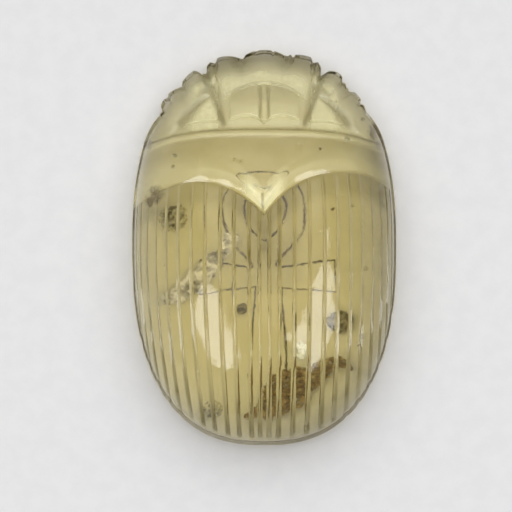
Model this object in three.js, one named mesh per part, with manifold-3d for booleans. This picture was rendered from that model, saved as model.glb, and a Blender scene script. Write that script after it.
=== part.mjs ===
// A carved scarab amulet of clear yellow glass, one solid, in millimetres.
// The head is towards +Y, the right-hand side is +X, and the flat underside lies on z = 0.
// The body is a box whose faces are bent into an oval dome on a low base: its columns run
// with the incised lines of the wing cases, and its rows with the edges of the thorax.
// Plates are joined on over the head, and grooves, notches and the underside's sign are cut.

import * as THREE from 'three';
import { mergeVertices } from 'three/addons/utils/BufferGeometryUtils.js';
import Module from 'manifold-3d';

const wasm = await Module();
wasm.setup();

// Overall size
const LENGTH = 42;
const WIDTH = 28.1;
const OUTLINE_POWER = 2.46; // 2 is an ellipse, and more is squarer
const BASE_HEIGHT = 2.4;
const BASE_BEVEL = 0.25;
const LEDGE = 0.984; // the dome's foot as a share of the base outline
const DOME_RISE = 11.8;
const DOME_POWER = 2.2;

// The dome sinks towards the head
const HEAD_FALL = 0.38;
const FALL_FROM = 2;
const FALL_TO = 20;

// Levels of the carving over or under the dome
const THORAX_LEVEL = 0.35;
const ROLL_EDGE_LEVEL = 0.1; // the thorax is rolled over behind
const ROLL_LEVEL = 0.6;
const ROLL_LENGTH = 1.9;
const ROLL_CREST = 0.6; // share of the roll's length from the edge to its crest
const LIP_LEVEL = 0.45;
const LIP_LENGTH = 0.7;
const EDGE_STEP = 0.12; // plan length of the step down behind the thorax
const HEAD_START = 0.012; // share of the head's length that the step down in front takes
const HEAD_GROUND = -0.5;
const HEAD_PLATE_LEVEL = 0.3;
const CHEEK_LEVEL = 0.2;

// Thorax: a shallow arc in front, and two unequal arches that meet in a point behind
const THORAX_FRONT = 12.35;
const THORAX_FRONT_DROP = 1.6;
const THORAX_HALF_WIDTH = 12.3;
const THORAX_FRONT_POWER = 3.2;
const SUTURE_TIP = 3.45;
const ARCHES = {
  left: { crestX: -6.8, crestY: 6.9, outerX: -13.6, outerY: 4.3, power: 2 },
  right: { crestX: 8.5, crestY: 7.9, outerX: 13.6, outerY: 5.9, power: 2.5 },
};

// Wing cases: incised lines at an even pitch over the surface, and two that edge the seam
const RIB_PITCH = 1.6;
const RIBS_PER_SIDE = 11;
const RIB_STRAIGHT_TO = -1.3; // behind this the lines draw together
const RIB_TAPER = { left: 0.2, right: 0.07 };
const RIB_TAPER_POWER = 1.7;
const RIB_WIDTH = { front: 0.32, rim: 0.6 };
const RIB_DEPTH = { front: 0.2, rim: 0.36 };
const SEAM_PLACE = 0.33; // in pitches from the middle
const RIM_COLUMNS = [11.5, 11.9, 12.3, Infinity]; // plain, past the last incised line

// Scalloped outline of the head from its left corner to its right: lobes and notches in turn,
// each with its angle from +X in degrees and its share of the plain oval
const SCALLOPS = [
  { angle: 139.5, share: 1, lobe: true },
  { angle: 128.2, share: 0.968, lobe: false },
  { angle: 124.3, share: 1, lobe: true },
  { angle: 118.4, share: 0.971, lobe: false },
  { angle: 112.2, share: 0.989, lobe: true },
  { angle: 109.8, share: 0.944, lobe: false },
  { angle: 103.8, share: 0.991, lobe: true },
  { angle: 97.2, share: 0.96, lobe: false },
  { angle: 89.8, share: 1, lobe: true },
  { angle: 84, share: 0.973, lobe: false },
  { angle: 76, share: 0.995, lobe: true },
  { angle: 71.4, share: 0.941, lobe: false },
  { angle: 66.5, share: 0.991, lobe: true },
  { angle: 62.8, share: 0.957, lobe: false },
  { angle: 57.5, share: 0.98, lobe: true },
  { angle: 53, share: 0.965, lobe: false },
  { angle: 40.5, share: 1, lobe: true },
];
const SCALLOP_DEEPENS = 8; // power at which the scallops fade inwards

// Head and front legs
const HEAD_PLATE = { halfWidth: 3.8, rear: 13.4, scallop: 0.45, front: 17.4, shoulder: 0.9 };
const HEAD_SEAM = 0.42;
const FLANK = { rimX: 5.6, rimY: 19.3, spread: 0.6, meetX: 4.7, meetY: 17.3, endX: 4.25, endY: 12.8 };
const CHEEK = { innerX: 5.0, apexX: 5.5, apexY: 16.1, outerX: 8.4, rear: 13.2 };
const PLATE_THICKNESS = 1.2;

// Underside sign: an outlined looped cross
const SIGN_LINE = 0.32;
const SIGN_DEPTH = 0.3;
const SIGN = {
  centreX: 0.3,
  loopTop: 6.1,
  loopHalfWidth: 3.5,
  throatHalfWidth: 1.5,
  barTop: -2,
  barBottom: -3.75,
  barHalfLength: 5.3,
  barFlare: 0.7,
  barLean: 0.25,
  shaftHalfWidth: 1.2,
  footHalfWidth: 1.7,
  footY: -12.3,
  eyeTop: 4.5,
  eyeHalfWidth: 1.8,
  eyeBottom: 0.7,
};

// Fineness of the faceting
const WING_ROWS = 16;
const THORAX_ROWS = 6;
const HEAD_ROWS = 7;
const SIMPLIFY_TO = 0.006;

const halfWidth = WIDTH / 2;
const halfLength = LENGTH / 2;
const { lerp, clamp, smoothstep } = THREE.MathUtils;

// ---------------------------------------------------------------- surface

/** Distance from the centre as a share of the base outline: 0 in the middle, 1 on the outline. */
function planShare(x, y) {
  const across = Math.abs(x / halfWidth) ** OUTLINE_POWER;
  const along = Math.abs(y / halfLength) ** OUTLINE_POWER;
  return (across + along) ** (1 / OUTLINE_POWER);
}

/** Half width of the dome's foot at a distance along the length. */
function footHalfWidth(y) {
  const along = Math.min(Math.abs(y / halfLength) / LEDGE, 1) ** OUTLINE_POWER;
  return halfWidth * LEDGE * (1 - along) ** (1 / OUTLINE_POWER);
}

/** Height of the carved dome at a level over or under the plain one. */
function surfaceHeight(x, y, level) {
  const inside = Math.min(planShare(x, y) / LEDGE, 1);
  const domeShare = (1 - inside ** DOME_POWER) ** (1 / DOME_POWER);
  const fall = 1 - HEAD_FALL * smoothstep(y, FALL_FROM, FALL_TO);
  return BASE_HEIGHT + domeShare * (DOME_RISE * fall + level);
}

/** Outward direction of the surface. */
function surfaceNormal(x, y) {
  const step = 0.01;
  const keep = Math.min(1, (0.985 * LEDGE) / planShare(x, y));
  const [px, py] = [x * keep, y * keep];
  const slopeX = (surfaceHeight(px + step, py, 0) - surfaceHeight(px - step, py, 0)) / (2 * step);
  const slopeY = (surfaceHeight(px, py + step, 0) - surfaceHeight(px, py - step, 0)) / (2 * step);
  return new THREE.Vector3(-slopeX, -slopeY, 1).normalize();
}

/** Front edge of the thorax at x. */
function thoraxFront(x) {
  const share = Math.abs(x) / THORAX_HALF_WIDTH;
  return THORAX_FRONT - THORAX_FRONT_DROP * share ** THORAX_FRONT_POWER;
}

/** Rear edge of the thorax at x: two arches with a point between them. */
function thoraxRear(x) {
  const arch = x < 0 ? ARCHES.left : ARCHES.right;
  const inside = Math.abs(x) < Math.abs(arch.crestX);
  const farX = inside ? 0 : arch.outerX;
  const farY = inside ? SUTURE_TIP : arch.outerY;
  const power = inside ? arch.power : 2;
  const share = Math.abs((x - arch.crestX) / (farX - arch.crestX));
  return arch.crestY + (farY - arch.crestY) * share ** power;
}

// ---------------------------------------------------------------- solids

/** A closed geometry as a solid that can be cut and joined. */
function toSolid(geometry) {
  geometry.deleteAttribute('normal');
  geometry.deleteAttribute('uv');
  const merged = mergeVertices(geometry);
  const corners = merged.index.array;
  const triangles = [];
  for (let i = 0; i < corners.length; i += 3) {
    const [a, b, c] = [corners[i], corners[i + 1], corners[i + 2]];
    if (a !== b && b !== c && a !== c) triangles.push(a, b, c);
  }
  return new wasm.Manifold(
    new wasm.Mesh({
      numProp: 3,
      vertProperties: merged.attributes.position.array,
      triVerts: new Uint32Array(triangles),
    }),
  );
}

/** A solid back as a geometry. */
function toGeometry(solid) {
  const mesh = solid.getMesh();
  const geometry = new THREE.BufferGeometry();
  geometry.setAttribute('position', new THREE.BufferAttribute(mesh.vertProperties, 3));
  geometry.setIndex(new THREE.BufferAttribute(mesh.triVerts, 1));
  return geometry;
}

/** A geometry with every vertex moved to where place(x, y, z) puts it. */
function reshape(geometry, place) {
  const position = geometry.attributes.position;
  for (let i = 0; i < position.count; i += 1) {
    const point = place(position.getX(i), position.getY(i), position.getZ(i));
    position.setXYZ(i, point.x, point.y, point.z);
  }
  return geometry;
}

// ---------------------------------------------------------------- body

/** Pitches travelled over the curved surface, tabled at even steps from the middle to the rim. */
function pitchTable(steps) {
  const travelled = [0];
  const step = (halfWidth * LEDGE) / steps;
  for (let i = 0; i < steps; i += 1) {
    const rise = surfaceHeight((i + 1) * step, 0, 0) - surfaceHeight(i * step, 0, 0);
    travelled.push(travelled[i] + Math.hypot(step, rise) / RIB_PITCH);
  }
  return travelled;
}

/** Share of the half width at which so many pitches have been travelled. */
function ribShare(table, pitches) {
  const index = table.findIndex((travelled) => travelled >= pitches);
  return index < 0 ? 1 : index / (table.length - 1);
}

/** The box's columns: both edges and the bottom of every incised line, and plain ones by the rim. */
function bodyColumns() {
  const lines = [SEAM_PLACE, ...Array.from({ length: RIBS_PER_SIDE }, (_, i) => i + 1)];
  const cuts = lines.flatMap((line) => [-1, 0, 1].map((edge) => ({ line, edge, cut: edge === 0 })));
  const plain = RIM_COLUMNS.map((line) => ({ line, edge: 0, cut: false }));
  const right = [...cuts, ...plain];
  const left = right.map((column) => ({ ...column, line: -column.line })).reverse();
  return [...left, { line: 0, edge: 0, cut: false }, ...right];
}

/** The box's rows from the tail to the front: which stretch, and how far along it. */
function bodyRows() {
  const rows = [];
  for (let i = 0; i < WING_ROWS; i += 1) {
    rows.push({ stretch: 'wing', along: Math.sin((Math.PI / 2) * (i / (WING_ROWS - 1)) ** 1.3) ** 1.6 });
  }
  for (const behind of [0, 0.2, 0.42, 0.65, 1]) rows.push({ stretch: 'roll', along: behind });
  for (let i = 1; i < THORAX_ROWS; i += 1) rows.push({ stretch: 'thorax', along: i / THORAX_ROWS });
  for (const before of [0, 0.6, 1]) rows.push({ stretch: 'lip', along: before });
  for (let i = 0; i <= HEAD_ROWS; i += 1) {
    rows.push({ stretch: 'head', along: lerp(HEAD_START, 1, Math.sin((Math.PI / 2) * (i / HEAD_ROWS))) });
  }
  return rows;
}

/** Solve for the place on a cross edge where a column meets it. */
function meet(edge, share) {
  let y = edge(0);
  for (let i = 0; i < 30; i += 1) y = edge(share * footHalfWidth(y));
  return new THREE.Vector2(share * footHalfWidth(y), y);
}

/** Plan point of a wing case's column: straight, then drawn in towards the tail. */
function wingPoint(share, y) {
  const taper = share < 0 ? RIB_TAPER.left : RIB_TAPER.right;
  const behind = clamp((RIB_STRAIGHT_TO - y) / (halfLength + RIB_STRAIGHT_TO), 0, 1);
  const across = share * (1 - taper * behind ** RIB_TAPER_POWER);
  return new THREE.Vector2(across * footHalfWidth(Math.max(y, 0)), y);
}

/** Where a wing case's column runs out over the dome's foot. */
function wingEnd(share) {
  let [outside, inside] = [-halfLength, 0];
  for (let i = 0; i < 40; i += 1) {
    const middle = (outside + inside) / 2;
    const point = wingPoint(share, middle);
    if (planShare(point.x, point.y) > LEDGE) outside = middle;
    else inside = middle;
  }
  return inside;
}

/** Where a column runs out over the foot in front, spread evenly round the head's outline. */
function frontEnd(share) {
  const corner = meet(thoraxFront, 1);
  const squareness = OUTLINE_POWER / 2;
  const cornerAngle = Math.acos((corner.x / (halfWidth * LEDGE)) ** squareness);
  const angle = lerp(Math.PI / 2, cornerAngle, Math.abs(share));
  const x = halfWidth * LEDGE * Math.cos(angle) ** (1 / squareness);
  const y = halfLength * LEDGE * Math.sin(angle) ** (1 / squareness);
  return new THREE.Vector2(Math.sign(share) * x, y);
}

/** Share of the plain oval that the scalloped outline reaches in the direction of a plan point. */
function scallop(x, y) {
  const angle = (Math.atan2(y, x) * 180) / Math.PI;
  const next = SCALLOPS.findIndex((stop) => stop.angle <= angle);
  if (next <= 0) return 1;
  const [before, after] = [SCALLOPS[next - 1], SCALLOPS[next]];
  const [notched, lobe] = before.lobe ? [after, before] : [before, after];
  const fromNotch = (angle - notched.angle) / (lobe.angle - notched.angle);
  return lerp(notched.share, lobe.share, Math.sin((Math.PI / 2) * fromNotch) ** 0.8);
}

/** Level of the thorax's rolled rear edge, from the edge at 0 to the roll's end at 1. */
function rollLevel(along) {
  if (along > ROLL_CREST) return lerp(ROLL_LEVEL, THORAX_LEVEL, smoothstep(along, ROLL_CREST, 1));
  return lerp(ROLL_EDGE_LEVEL, ROLL_LEVEL, Math.sin((Math.PI / 2) * (along / ROLL_CREST)));
}

/** Plan point and level for one column and one row. */
function topPoint(share, row) {
  const rear = meet(thoraxRear, share);
  const front = meet(thoraxFront, share);
  const onShare = (y) => new THREE.Vector2(share * footHalfWidth(y), y);
  if (row.stretch === 'wing') {
    const y = lerp(wingEnd(share), rear.y - EDGE_STEP, row.along);
    return { plan: wingPoint(share, y), level: 0 };
  }
  if (row.stretch === 'roll') {
    return { plan: onShare(rear.y + ROLL_LENGTH * row.along), level: rollLevel(row.along) };
  }
  if (row.stretch === 'thorax') {
    const y = lerp(rear.y + ROLL_LENGTH, front.y - LIP_LENGTH, row.along);
    return { plan: onShare(y), level: THORAX_LEVEL };
  }
  if (row.stretch === 'lip') {
    const y = front.y - LIP_LENGTH * (1 - row.along);
    return { plan: onShare(y), level: row.along > 0 ? LIP_LEVEL : THORAX_LEVEL };
  }
  const plan = front.clone().lerp(frontEnd(share), row.along);
  const nearRim = (planShare(plan.x, plan.y) / LEDGE) ** SCALLOP_DEEPENS;
  return { plan: plan.multiplyScalar(lerp(1, scallop(plan.x, plan.y), nearRim)), level: HEAD_GROUND };
}

/** Body with the thorax's levels and every incised line of the wing cases. */
function body() {
  const columns = bodyColumns();
  const rows = bodyRows();
  const footLevels = [
    { scale: (1 - BASE_BEVEL / halfWidth) / LEDGE, z: 0 },
    { scale: 1 / LEDGE, z: BASE_BEVEL },
    { scale: 1 / LEDGE, z: BASE_HEIGHT - BASE_BEVEL / 2 },
  ];
  const [across, along, up] = [columns.length - 1, rows.length - 1, footLevels.length];
  const geometry = new THREE.BoxGeometry(across, along, up, across, along, up);
  geometry.translate(across / 2, along / 2, up / 2);
  const table = pitchTable(2000);
  return toSolid(
    reshape(geometry, (i, j, k) => {
      const column = columns[Math.round(i)];
      const row = rows[Math.round(j)];
      const level = footLevels[Math.round(k)];
      const towardsRim = row.stretch === 'wing' ? (1 - row.along) ** 2 : 0;
      const width = lerp(RIB_WIDTH.front, RIB_WIDTH.rim, towardsRim);
      const pitches = Math.abs(column.line) + (column.edge * width) / 2 / RIB_PITCH;
      const share = Math.sign(column.line) * ribShare(table, pitches);
      const { plan, level: raised } = topPoint(share, row);
      if (level) return new THREE.Vector3(plan.x * level.scale, plan.y * level.scale, level.z);
      const point = new THREE.Vector3(plan.x, plan.y, surfaceHeight(plan.x, plan.y, raised));
      const cut = column.cut && row.stretch === 'wing' && row.along > 0;
      const depth = cut ? lerp(RIB_DEPTH.front, RIB_DEPTH.rim, towardsRim) : 0;
      return point.addScaledVector(surfaceNormal(plan.x, plan.y), -depth);
    }),
  );
}

// ---------------------------------------------------------------- cutters and plates

/** A straight line in plan from one point to another. */
function straight([x0, y0], [x1, y1]) {
  return (t) => ({ x: lerp(x0, x1, t), y: lerp(y0, y1, t) });
}

/** Frame of a path that lies on the carved surface at one level. */
function onSurface(planPoint, level) {
  const at = (t) => {
    const { x, y } = planPoint(t);
    return new THREE.Vector3(x, y, surfaceHeight(x, y, level));
  };
  return (t) => {
    const middle = at(t);
    const ahead = at(t + 0.01).sub(at(t - 0.01));
    const out = surfaceNormal(middle.x, middle.y);
    return { middle, out, side: new THREE.Vector3().crossVectors(out, ahead).normalize() };
  };
}

/** Frame of a path on the flat underside. */
function onUnderside(planPoint) {
  return (t) => {
    const [here, before, after] = [planPoint(t), planPoint(t - 0.01), planPoint(t + 0.01)];
    const ahead = new THREE.Vector3(after.x - before.x, after.y - before.y, 0);
    const out = new THREE.Vector3(0, 0, -1);
    const side = new THREE.Vector3().crossVectors(out, ahead).normalize();
    return { middle: new THREE.Vector3(here.x, here.y, 0), out, side };
  };
}

/** A three-sided bar bent along a path, point down, that cuts a V of this width and depth. */
function vCut(frameAt, width, depth, steps) {
  const clearance = 0.8;
  const sectionHeight = 1.5; // of a triangle in a circle of radius 1
  const topHalfWidth = ((width / 2) * (depth + clearance)) / depth;
  const geometry = new THREE.CylinderGeometry(1, 1, 1, 3, steps);
  return toSolid(
    reshape(geometry, (x, y, z) => {
      const { middle, side, out } = frameAt(0.5 - y);
      const sideways = (-x / Math.cos(Math.PI / 6)) * topHalfWidth;
      const outwards = -depth + ((1 - z) / sectionHeight) * (depth + clearance);
      return middle.addScaledVector(side, sideways).addScaledVector(out, outwards);
    }),
  );
}

/** A groove across the head between two plan points. */
function headGroove(from, to, level, width, depth) {
  return vCut(onSurface(straight(from, to), level), width, depth, 3);
}

/** A raised plate: planPoint(u, v) spans its outline, and its top follows the dome at a level. */
function plate(planPoint, level, across, along) {
  const geometry = new THREE.BoxGeometry(1, 1, 1, across, along, 1);
  return toSolid(
    reshape(geometry, (x, y, z) => {
      const plan = planPoint(x + 0.5, y + 0.5);
      const top = surfaceHeight(plan.x, plan.y, level);
      return new THREE.Vector3(plan.x, plan.y, top - (0.5 - z) * PLATE_THICKNESS);
    }),
  );
}

// ---------------------------------------------------------------- head and front legs

/** Head plate: a curved front, straight sides and a scalloped rear edge. */
function headPlate() {
  const { halfWidth: reach, rear, scallop, front, shoulder } = HEAD_PLATE;
  return plate(
    (u, v) => {
      const x = lerp(-reach, reach, u);
      const out = Math.abs(x / reach);
      const rearY = rear + scallop * Math.sin(Math.PI * out) ** 2;
      return { x, y: lerp(rearY, front - shoulder * out ** 2.4, v) };
    },
    HEAD_PLATE_LEVEL,
    12,
    3,
  );
}

/** Cheek: a triangular plate with a curved outer edge, beside the head's flank groove. */
function cheek(direction) {
  const { innerX, apexX, apexY, outerX, rear } = CHEEK;
  return plate(
    (u, v) => {
      const outer = lerp(outerX, apexX, v ** 1.8);
      const across = direction > 0 ? u : 1 - u;
      return { x: direction * lerp(lerp(innerX, apexX, v), outer, across), y: lerp(rear, apexY, v) };
    },
    CHEEK_LEVEL,
    2,
    4,
  );
}

/** Grooves beside the head, each forked at the rim, and the double seam down the head plate. */
function headGrooves(direction) {
  const { rimX, rimY, spread, meetX, meetY, endX, endY } = FLANK;
  const joint = [direction * meetX, meetY];
  const inner = [direction * (rimX - spread), rimY + spread];
  const outer = [direction * (rimX + spread), rimY - spread];
  const seamX = direction * HEAD_SEAM;
  return [
    headGroove(joint, [direction * endX, endY], HEAD_GROUND, 0.7, 0.55),
    headGroove(inner, joint, HEAD_GROUND, 0.5, 0.45),
    headGroove(outer, joint, HEAD_GROUND, 0.5, 0.45),
    headGroove([seamX, HEAD_PLATE.front + 0.3], [seamX, HEAD_PLATE.rear - 0.3], HEAD_PLATE_LEVEL, 0.34, 0.24),
  ];
}

/** Grooves that run in from the notches between the legs' teeth and the head shield's lobes. */
function toothGrooves() {
  const tooth = (from, to) => headGroove(from, to, HEAD_GROUND, 0.45, 0.35);
  return [
    tooth([-9.3, 17.7], [-8.1, 15.9]),
    tooth([-11.4, 14.6], [-9.6, 13.9]),
    tooth([-10.3, 15.8], [-8.7, 15.6]),
    tooth([8.9, 17.6], [7.3, 16.1]),
    tooth([9.6, 16.9], [7.7, 15.6]),
    tooth([10.9, 15.2], [8.9, 14.9]),
    tooth([-2.6, 20.9], [-2.1, 19.1]),
    tooth([3.2, 20.9], [2.4, 18.4]),
  ];
}

// ---------------------------------------------------------------- underside

/** A drop's plan curve from its foot, over its round top and back down. */
function drop(top, bottom, half, footHalf) {
  const widest = 0.77; // of sin(a) cos(a / 2)
  return (t) => {
    const angle = (t * 2 - 1) * Math.PI * 0.99;
    const belly = (half * Math.sin(angle) * Math.cos(angle / 2)) / widest;
    const x = belly + Math.sign(angle) * footHalf * (angle / Math.PI) ** 4;
    return { x, y: (top + bottom) / 2 + ((top - bottom) / 2) * Math.cos(angle) };
  };
}

/** The outlined looped cross. */
function signCuts() {
  const s = SIGN;
  const line = (planPoint, steps) => vCut(onUnderside(planPoint), SIGN_LINE, SIGN_DEPTH, steps);
  const cuts = [
    line(drop(s.loopTop, s.barTop, s.loopHalfWidth, s.throatHalfWidth), 26),
    line(drop(s.eyeTop, s.eyeBottom, s.eyeHalfWidth, 0.05), 16),
  ];
  for (const direction of [-1, 1]) {
    const at = (reach, y) => [s.centreX + direction * reach, y];
    const corners = [
      [direction * s.throatHalfWidth, s.barTop],
      at(s.barHalfLength, s.barTop + s.barFlare),
      at(s.barHalfLength + s.barLean, s.barBottom - s.barFlare),
      at(s.shaftHalfWidth, s.barBottom),
      at(s.footHalfWidth, s.footY),
      at(0, s.footY),
    ];
    for (let i = 0; i + 1 < corners.length; i += 1) cuts.push(line(straight(corners[i], corners[i + 1]), 1));
  }
  return cuts;
}

// ---------------------------------------------------------------- assembly

const plates = [headPlate(), cheek(-1), cheek(1)];
const cuts = [...headGrooves(-1), ...headGrooves(1), ...toothGrooves(), ...signCuts()];
const joined = plates.reduce((solid, added) => solid.add(added), body());
const carved = cuts.reduce((solid, cut) => solid.subtract(cut), joined).simplify(SIMPLIFY_TO);

const glass = new THREE.MeshStandardMaterial({
  name: 'yellow_glass',
  color: 0xcabb84,
  roughness: 0.12,
  metalness: 0,
});
const scarab = new THREE.Mesh(toGeometry(carved), glass);
scarab.name = 'scarab';

const amulet = new THREE.Group();
amulet.add(scarab);

export default amulet;
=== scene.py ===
"""A carved scarab amulet of clear yellow glass: the body, the sign under it and what is sealed in it."""

import logging
import math
from collections.abc import Callable
from dataclasses import dataclass, field, replace
from enum import Enum, IntEnum

import bpy
import numpy as np
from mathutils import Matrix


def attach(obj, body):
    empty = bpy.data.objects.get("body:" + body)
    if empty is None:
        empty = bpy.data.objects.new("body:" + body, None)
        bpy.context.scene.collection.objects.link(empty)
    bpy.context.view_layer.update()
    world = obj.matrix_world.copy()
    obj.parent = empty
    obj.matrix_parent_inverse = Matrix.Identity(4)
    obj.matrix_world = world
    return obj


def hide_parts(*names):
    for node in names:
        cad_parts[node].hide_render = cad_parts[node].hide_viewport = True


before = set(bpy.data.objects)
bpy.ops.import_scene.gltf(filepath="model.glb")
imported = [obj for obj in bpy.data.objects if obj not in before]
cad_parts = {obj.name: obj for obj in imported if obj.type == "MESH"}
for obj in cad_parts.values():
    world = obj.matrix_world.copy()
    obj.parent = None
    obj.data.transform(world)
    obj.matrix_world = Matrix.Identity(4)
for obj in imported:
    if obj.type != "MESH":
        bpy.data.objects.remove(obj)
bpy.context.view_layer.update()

LOG = logging.getLogger("scarab")
MM = 0.001

Array = np.ndarray
Plan = tuple[float, float]
Span = tuple[float, float]
Colour = tuple[float, float, float, float]

UNEVEN = 0.03
WAVE_SPREAD: Span = (0.6, 1.7)
CREST = 1.5
NO_LINE = -1.0
HALVINGS = 40
ROUNDS = 30
SMOOTH_TO = 60


class Seed(IntEnum):
    """Seeds of the random draws, one for each kind of unevenness."""

    GROOVES = 3
    LINE_PLACES = 5
    LINE_DEPTHS = 8
    HEAD = 11
    PLUME = 12
    SWIRL = 19
    WING_CASES = 21
    THORAX = 31
    SPHERULE = 40
    PUFF = 60
    PITS = 71
    FLEECE = 77
    STREAKS = 91


# ---------------------------------------------------------------- numbers


def lerp(low: Array | float, high: Array | float, share: Array | float) -> Array:
    """Value that lies at a share of the way from low to high."""
    return low + (high - low) * share


def ease(values: Array | float, low: float, high: float) -> Array:
    """Smooth rise from 0 at low to 1 at high, where low may be the larger."""
    t = np.clip((np.asarray(values, float) - low) / (high - low), 0, 1)
    return t * t * (3 - 2 * t)


def near(values: Array, middle: float, reach: float) -> Array:
    """Smooth bump of height 1 at the middle that is gone at its reach."""
    return 1 - ease(np.abs(values - middle), 0, reach)


@dataclass(frozen=True)
class Ripple:
    """Gentle seeded unevenness over a plan, of about unit height.

    Attributes:
        seed: Seed of the draw.
        wavelength: Typical distance between crests, in millimetres.
        waves: How many waves are added up.
    """

    seed: int
    wavelength: float
    waves: int = 9

    def __call__(self, x: Array, y: Array) -> Array:
        """Height of the ripple over plan points.

        Args:
            x: Places across, in millimetres.
            y: Places along, in millimetres.

        Returns:
            Heights, mostly between -1 and 1.
        """
        draw = np.random.default_rng(self.seed)
        total = np.zeros(np.broadcast(x, y).shape)
        for _ in range(self.waves):
            heading = draw.uniform(0, 2 * math.pi)
            number = 2 * math.pi / (self.wavelength * draw.uniform(*WAVE_SPREAD))
            phase = draw.uniform(0, 2 * math.pi)
            total += np.sin(number * (x * math.cos(heading) + y * math.sin(heading)) + phase)
        return total / math.sqrt(self.waves / 2) / CREST


def along_line(x: Array, y: Array, start: Plan, end: Plan) -> tuple[Array, Array]:
    """Share of the way along a line, and distance from it, for plan points.

    Args:
        x: Places across.
        y: Places along.
        start: Where the line begins.
        end: Where the line ends.

    Returns:
        Shares between 0 and 1, and distances.
    """
    way = np.array(end) - np.array(start)
    share = np.clip(((x - start[0]) * way[0] + (y - start[1]) * way[1]) / (way @ way), 0, 1)
    return share, np.hypot(x - start[0] - way[0] * share, y - start[1] - way[1] * share)


def bent_way(start: Plan, bend: Plan, end: Plan, t: Array | float) -> Array:
    """Plan points of a bent line, at shares of the way along it."""
    first, second, third = np.array(start), np.array(bend), np.array(end)
    return (1 - t) ** 2 * first + 2 * t * (1 - t) * second + t * t * third


@dataclass(frozen=True)
class Fade:
    """Share that rises smoothly from 0 at its start to its strength at its full place."""

    start: float
    full: float
    strength: float = 1.0

    def __call__(self, values: Array) -> Array:
        """Share at the given values."""
        return self.strength * ease(values, self.start, self.full)


@dataclass(frozen=True)
class Stroke:
    """Share that is strongest on a plan line and fades beside it."""

    start: Plan
    end: Plan
    fade: Fade

    def __call__(self, x: Array, y: Array) -> Array:
        """Share at plan points."""
        return self.fade(along_line(x, y, self.start, self.end)[1])


@dataclass(frozen=True)
class Cut:
    """Groove of V section in the carved surface, between two plan points.

    Attributes:
        start: Where the cut begins.
        end: Where the cut ends.
        width: Widths at the start and the end.
        depth: Depths at the start and the end.
        roundness: Power of the section: 1 is a plain V, and 2 has a round bottom.
    """

    start: Plan
    end: Plan
    width: tuple[float, float] = (0.45, 0.3)
    depth: tuple[float, float] = (0.3, 0.1)
    roundness: float = 1.5

    def __call__(self, x: Array, y: Array) -> Array:
        """Depth of the cut at plan points."""
        share, distance = along_line(x, y, self.start, self.end)
        half = lerp(self.width[0], self.width[1], share) / 2
        section = np.clip(1 - (distance / half) ** self.roundness, 0, None)
        return section * lerp(self.depth[0], self.depth[1], share)

    def mirrored(self) -> "Cut":
        """Same cut on the other side of the middle."""
        (x0, y0), (x1, y1) = self.start, self.end
        return Cut((-x0, y0), (-x1, y1), self.width, self.depth, self.roundness)


# ---------------------------------------------------------------- carved form


@dataclass(frozen=True)
class Dome:
    """Plain oval dome on a low base, in millimetres, with the head towards +Y."""

    length: float = 42.0
    width: float = 28.1
    outline_power: float = 2.46
    base_height: float = 2.4
    base_bevel: float = 0.25
    ledge: float = 0.984
    rise: float = 11.8
    power: float = 2.2
    head_fall: float = 0.38
    fall_from: float = 2.0
    fall_to: float = 20.0
    normal_step: float = 0.01
    normal_limit: float = 0.985

    def share(self, x: Array, y: Array) -> Array:
        """Distance from the centre as a share of the base outline."""
        across = np.abs(2 * x / self.width) ** self.outline_power
        along = np.abs(2 * y / self.length) ** self.outline_power
        return (across + along) ** (1 / self.outline_power)

    def foot_half_width(self, y: Array) -> Array:
        """Half width of the dome's foot at places along the length."""
        along = np.minimum(np.abs(2 * y / self.length) / self.ledge, 1) ** self.outline_power
        return self.width / 2 * self.ledge * (1 - along) ** (1 / self.outline_power)

    def height(self, x: Array, y: Array, level: Array | float) -> Array:
        """Height of the surface that lies at a level over the plain dome."""
        inside = np.minimum(self.share(x, y) / self.ledge, 1)
        dome = (1 - inside**self.power) ** (1 / self.power)
        fall = 1 - self.head_fall * ease(y, self.fall_from, self.fall_to)
        return self.base_height + dome * (self.rise * fall + level)

    def normal(self, x: Array, y: Array) -> Array:
        """Outward directions of the plain dome, on a last axis of three."""
        step = self.normal_step
        keep = np.minimum(1, self.normal_limit * self.ledge / np.maximum(self.share(x, y), 1e-6))
        px, py = x * keep, y * keep
        slope_x = (self.height(px + step, py, 0) - self.height(px - step, py, 0)) / (2 * step)
        slope_y = (self.height(px, py + step, 0) - self.height(px, py - step, 0)) / (2 * step)
        normal = np.stack([-slope_x, -slope_y, np.ones_like(slope_x)], -1)
        return normal / np.linalg.norm(normal, axis=-1, keepdims=True)


DOME = Dome()


@dataclass(frozen=True)
class Arch:
    """One arch of the thorax's rear edge, from the seam of the wing cases to the rim."""

    crest_x: float
    crest_y: float
    outer_y: float
    power: float
    outer_x: float = 13.6


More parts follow.
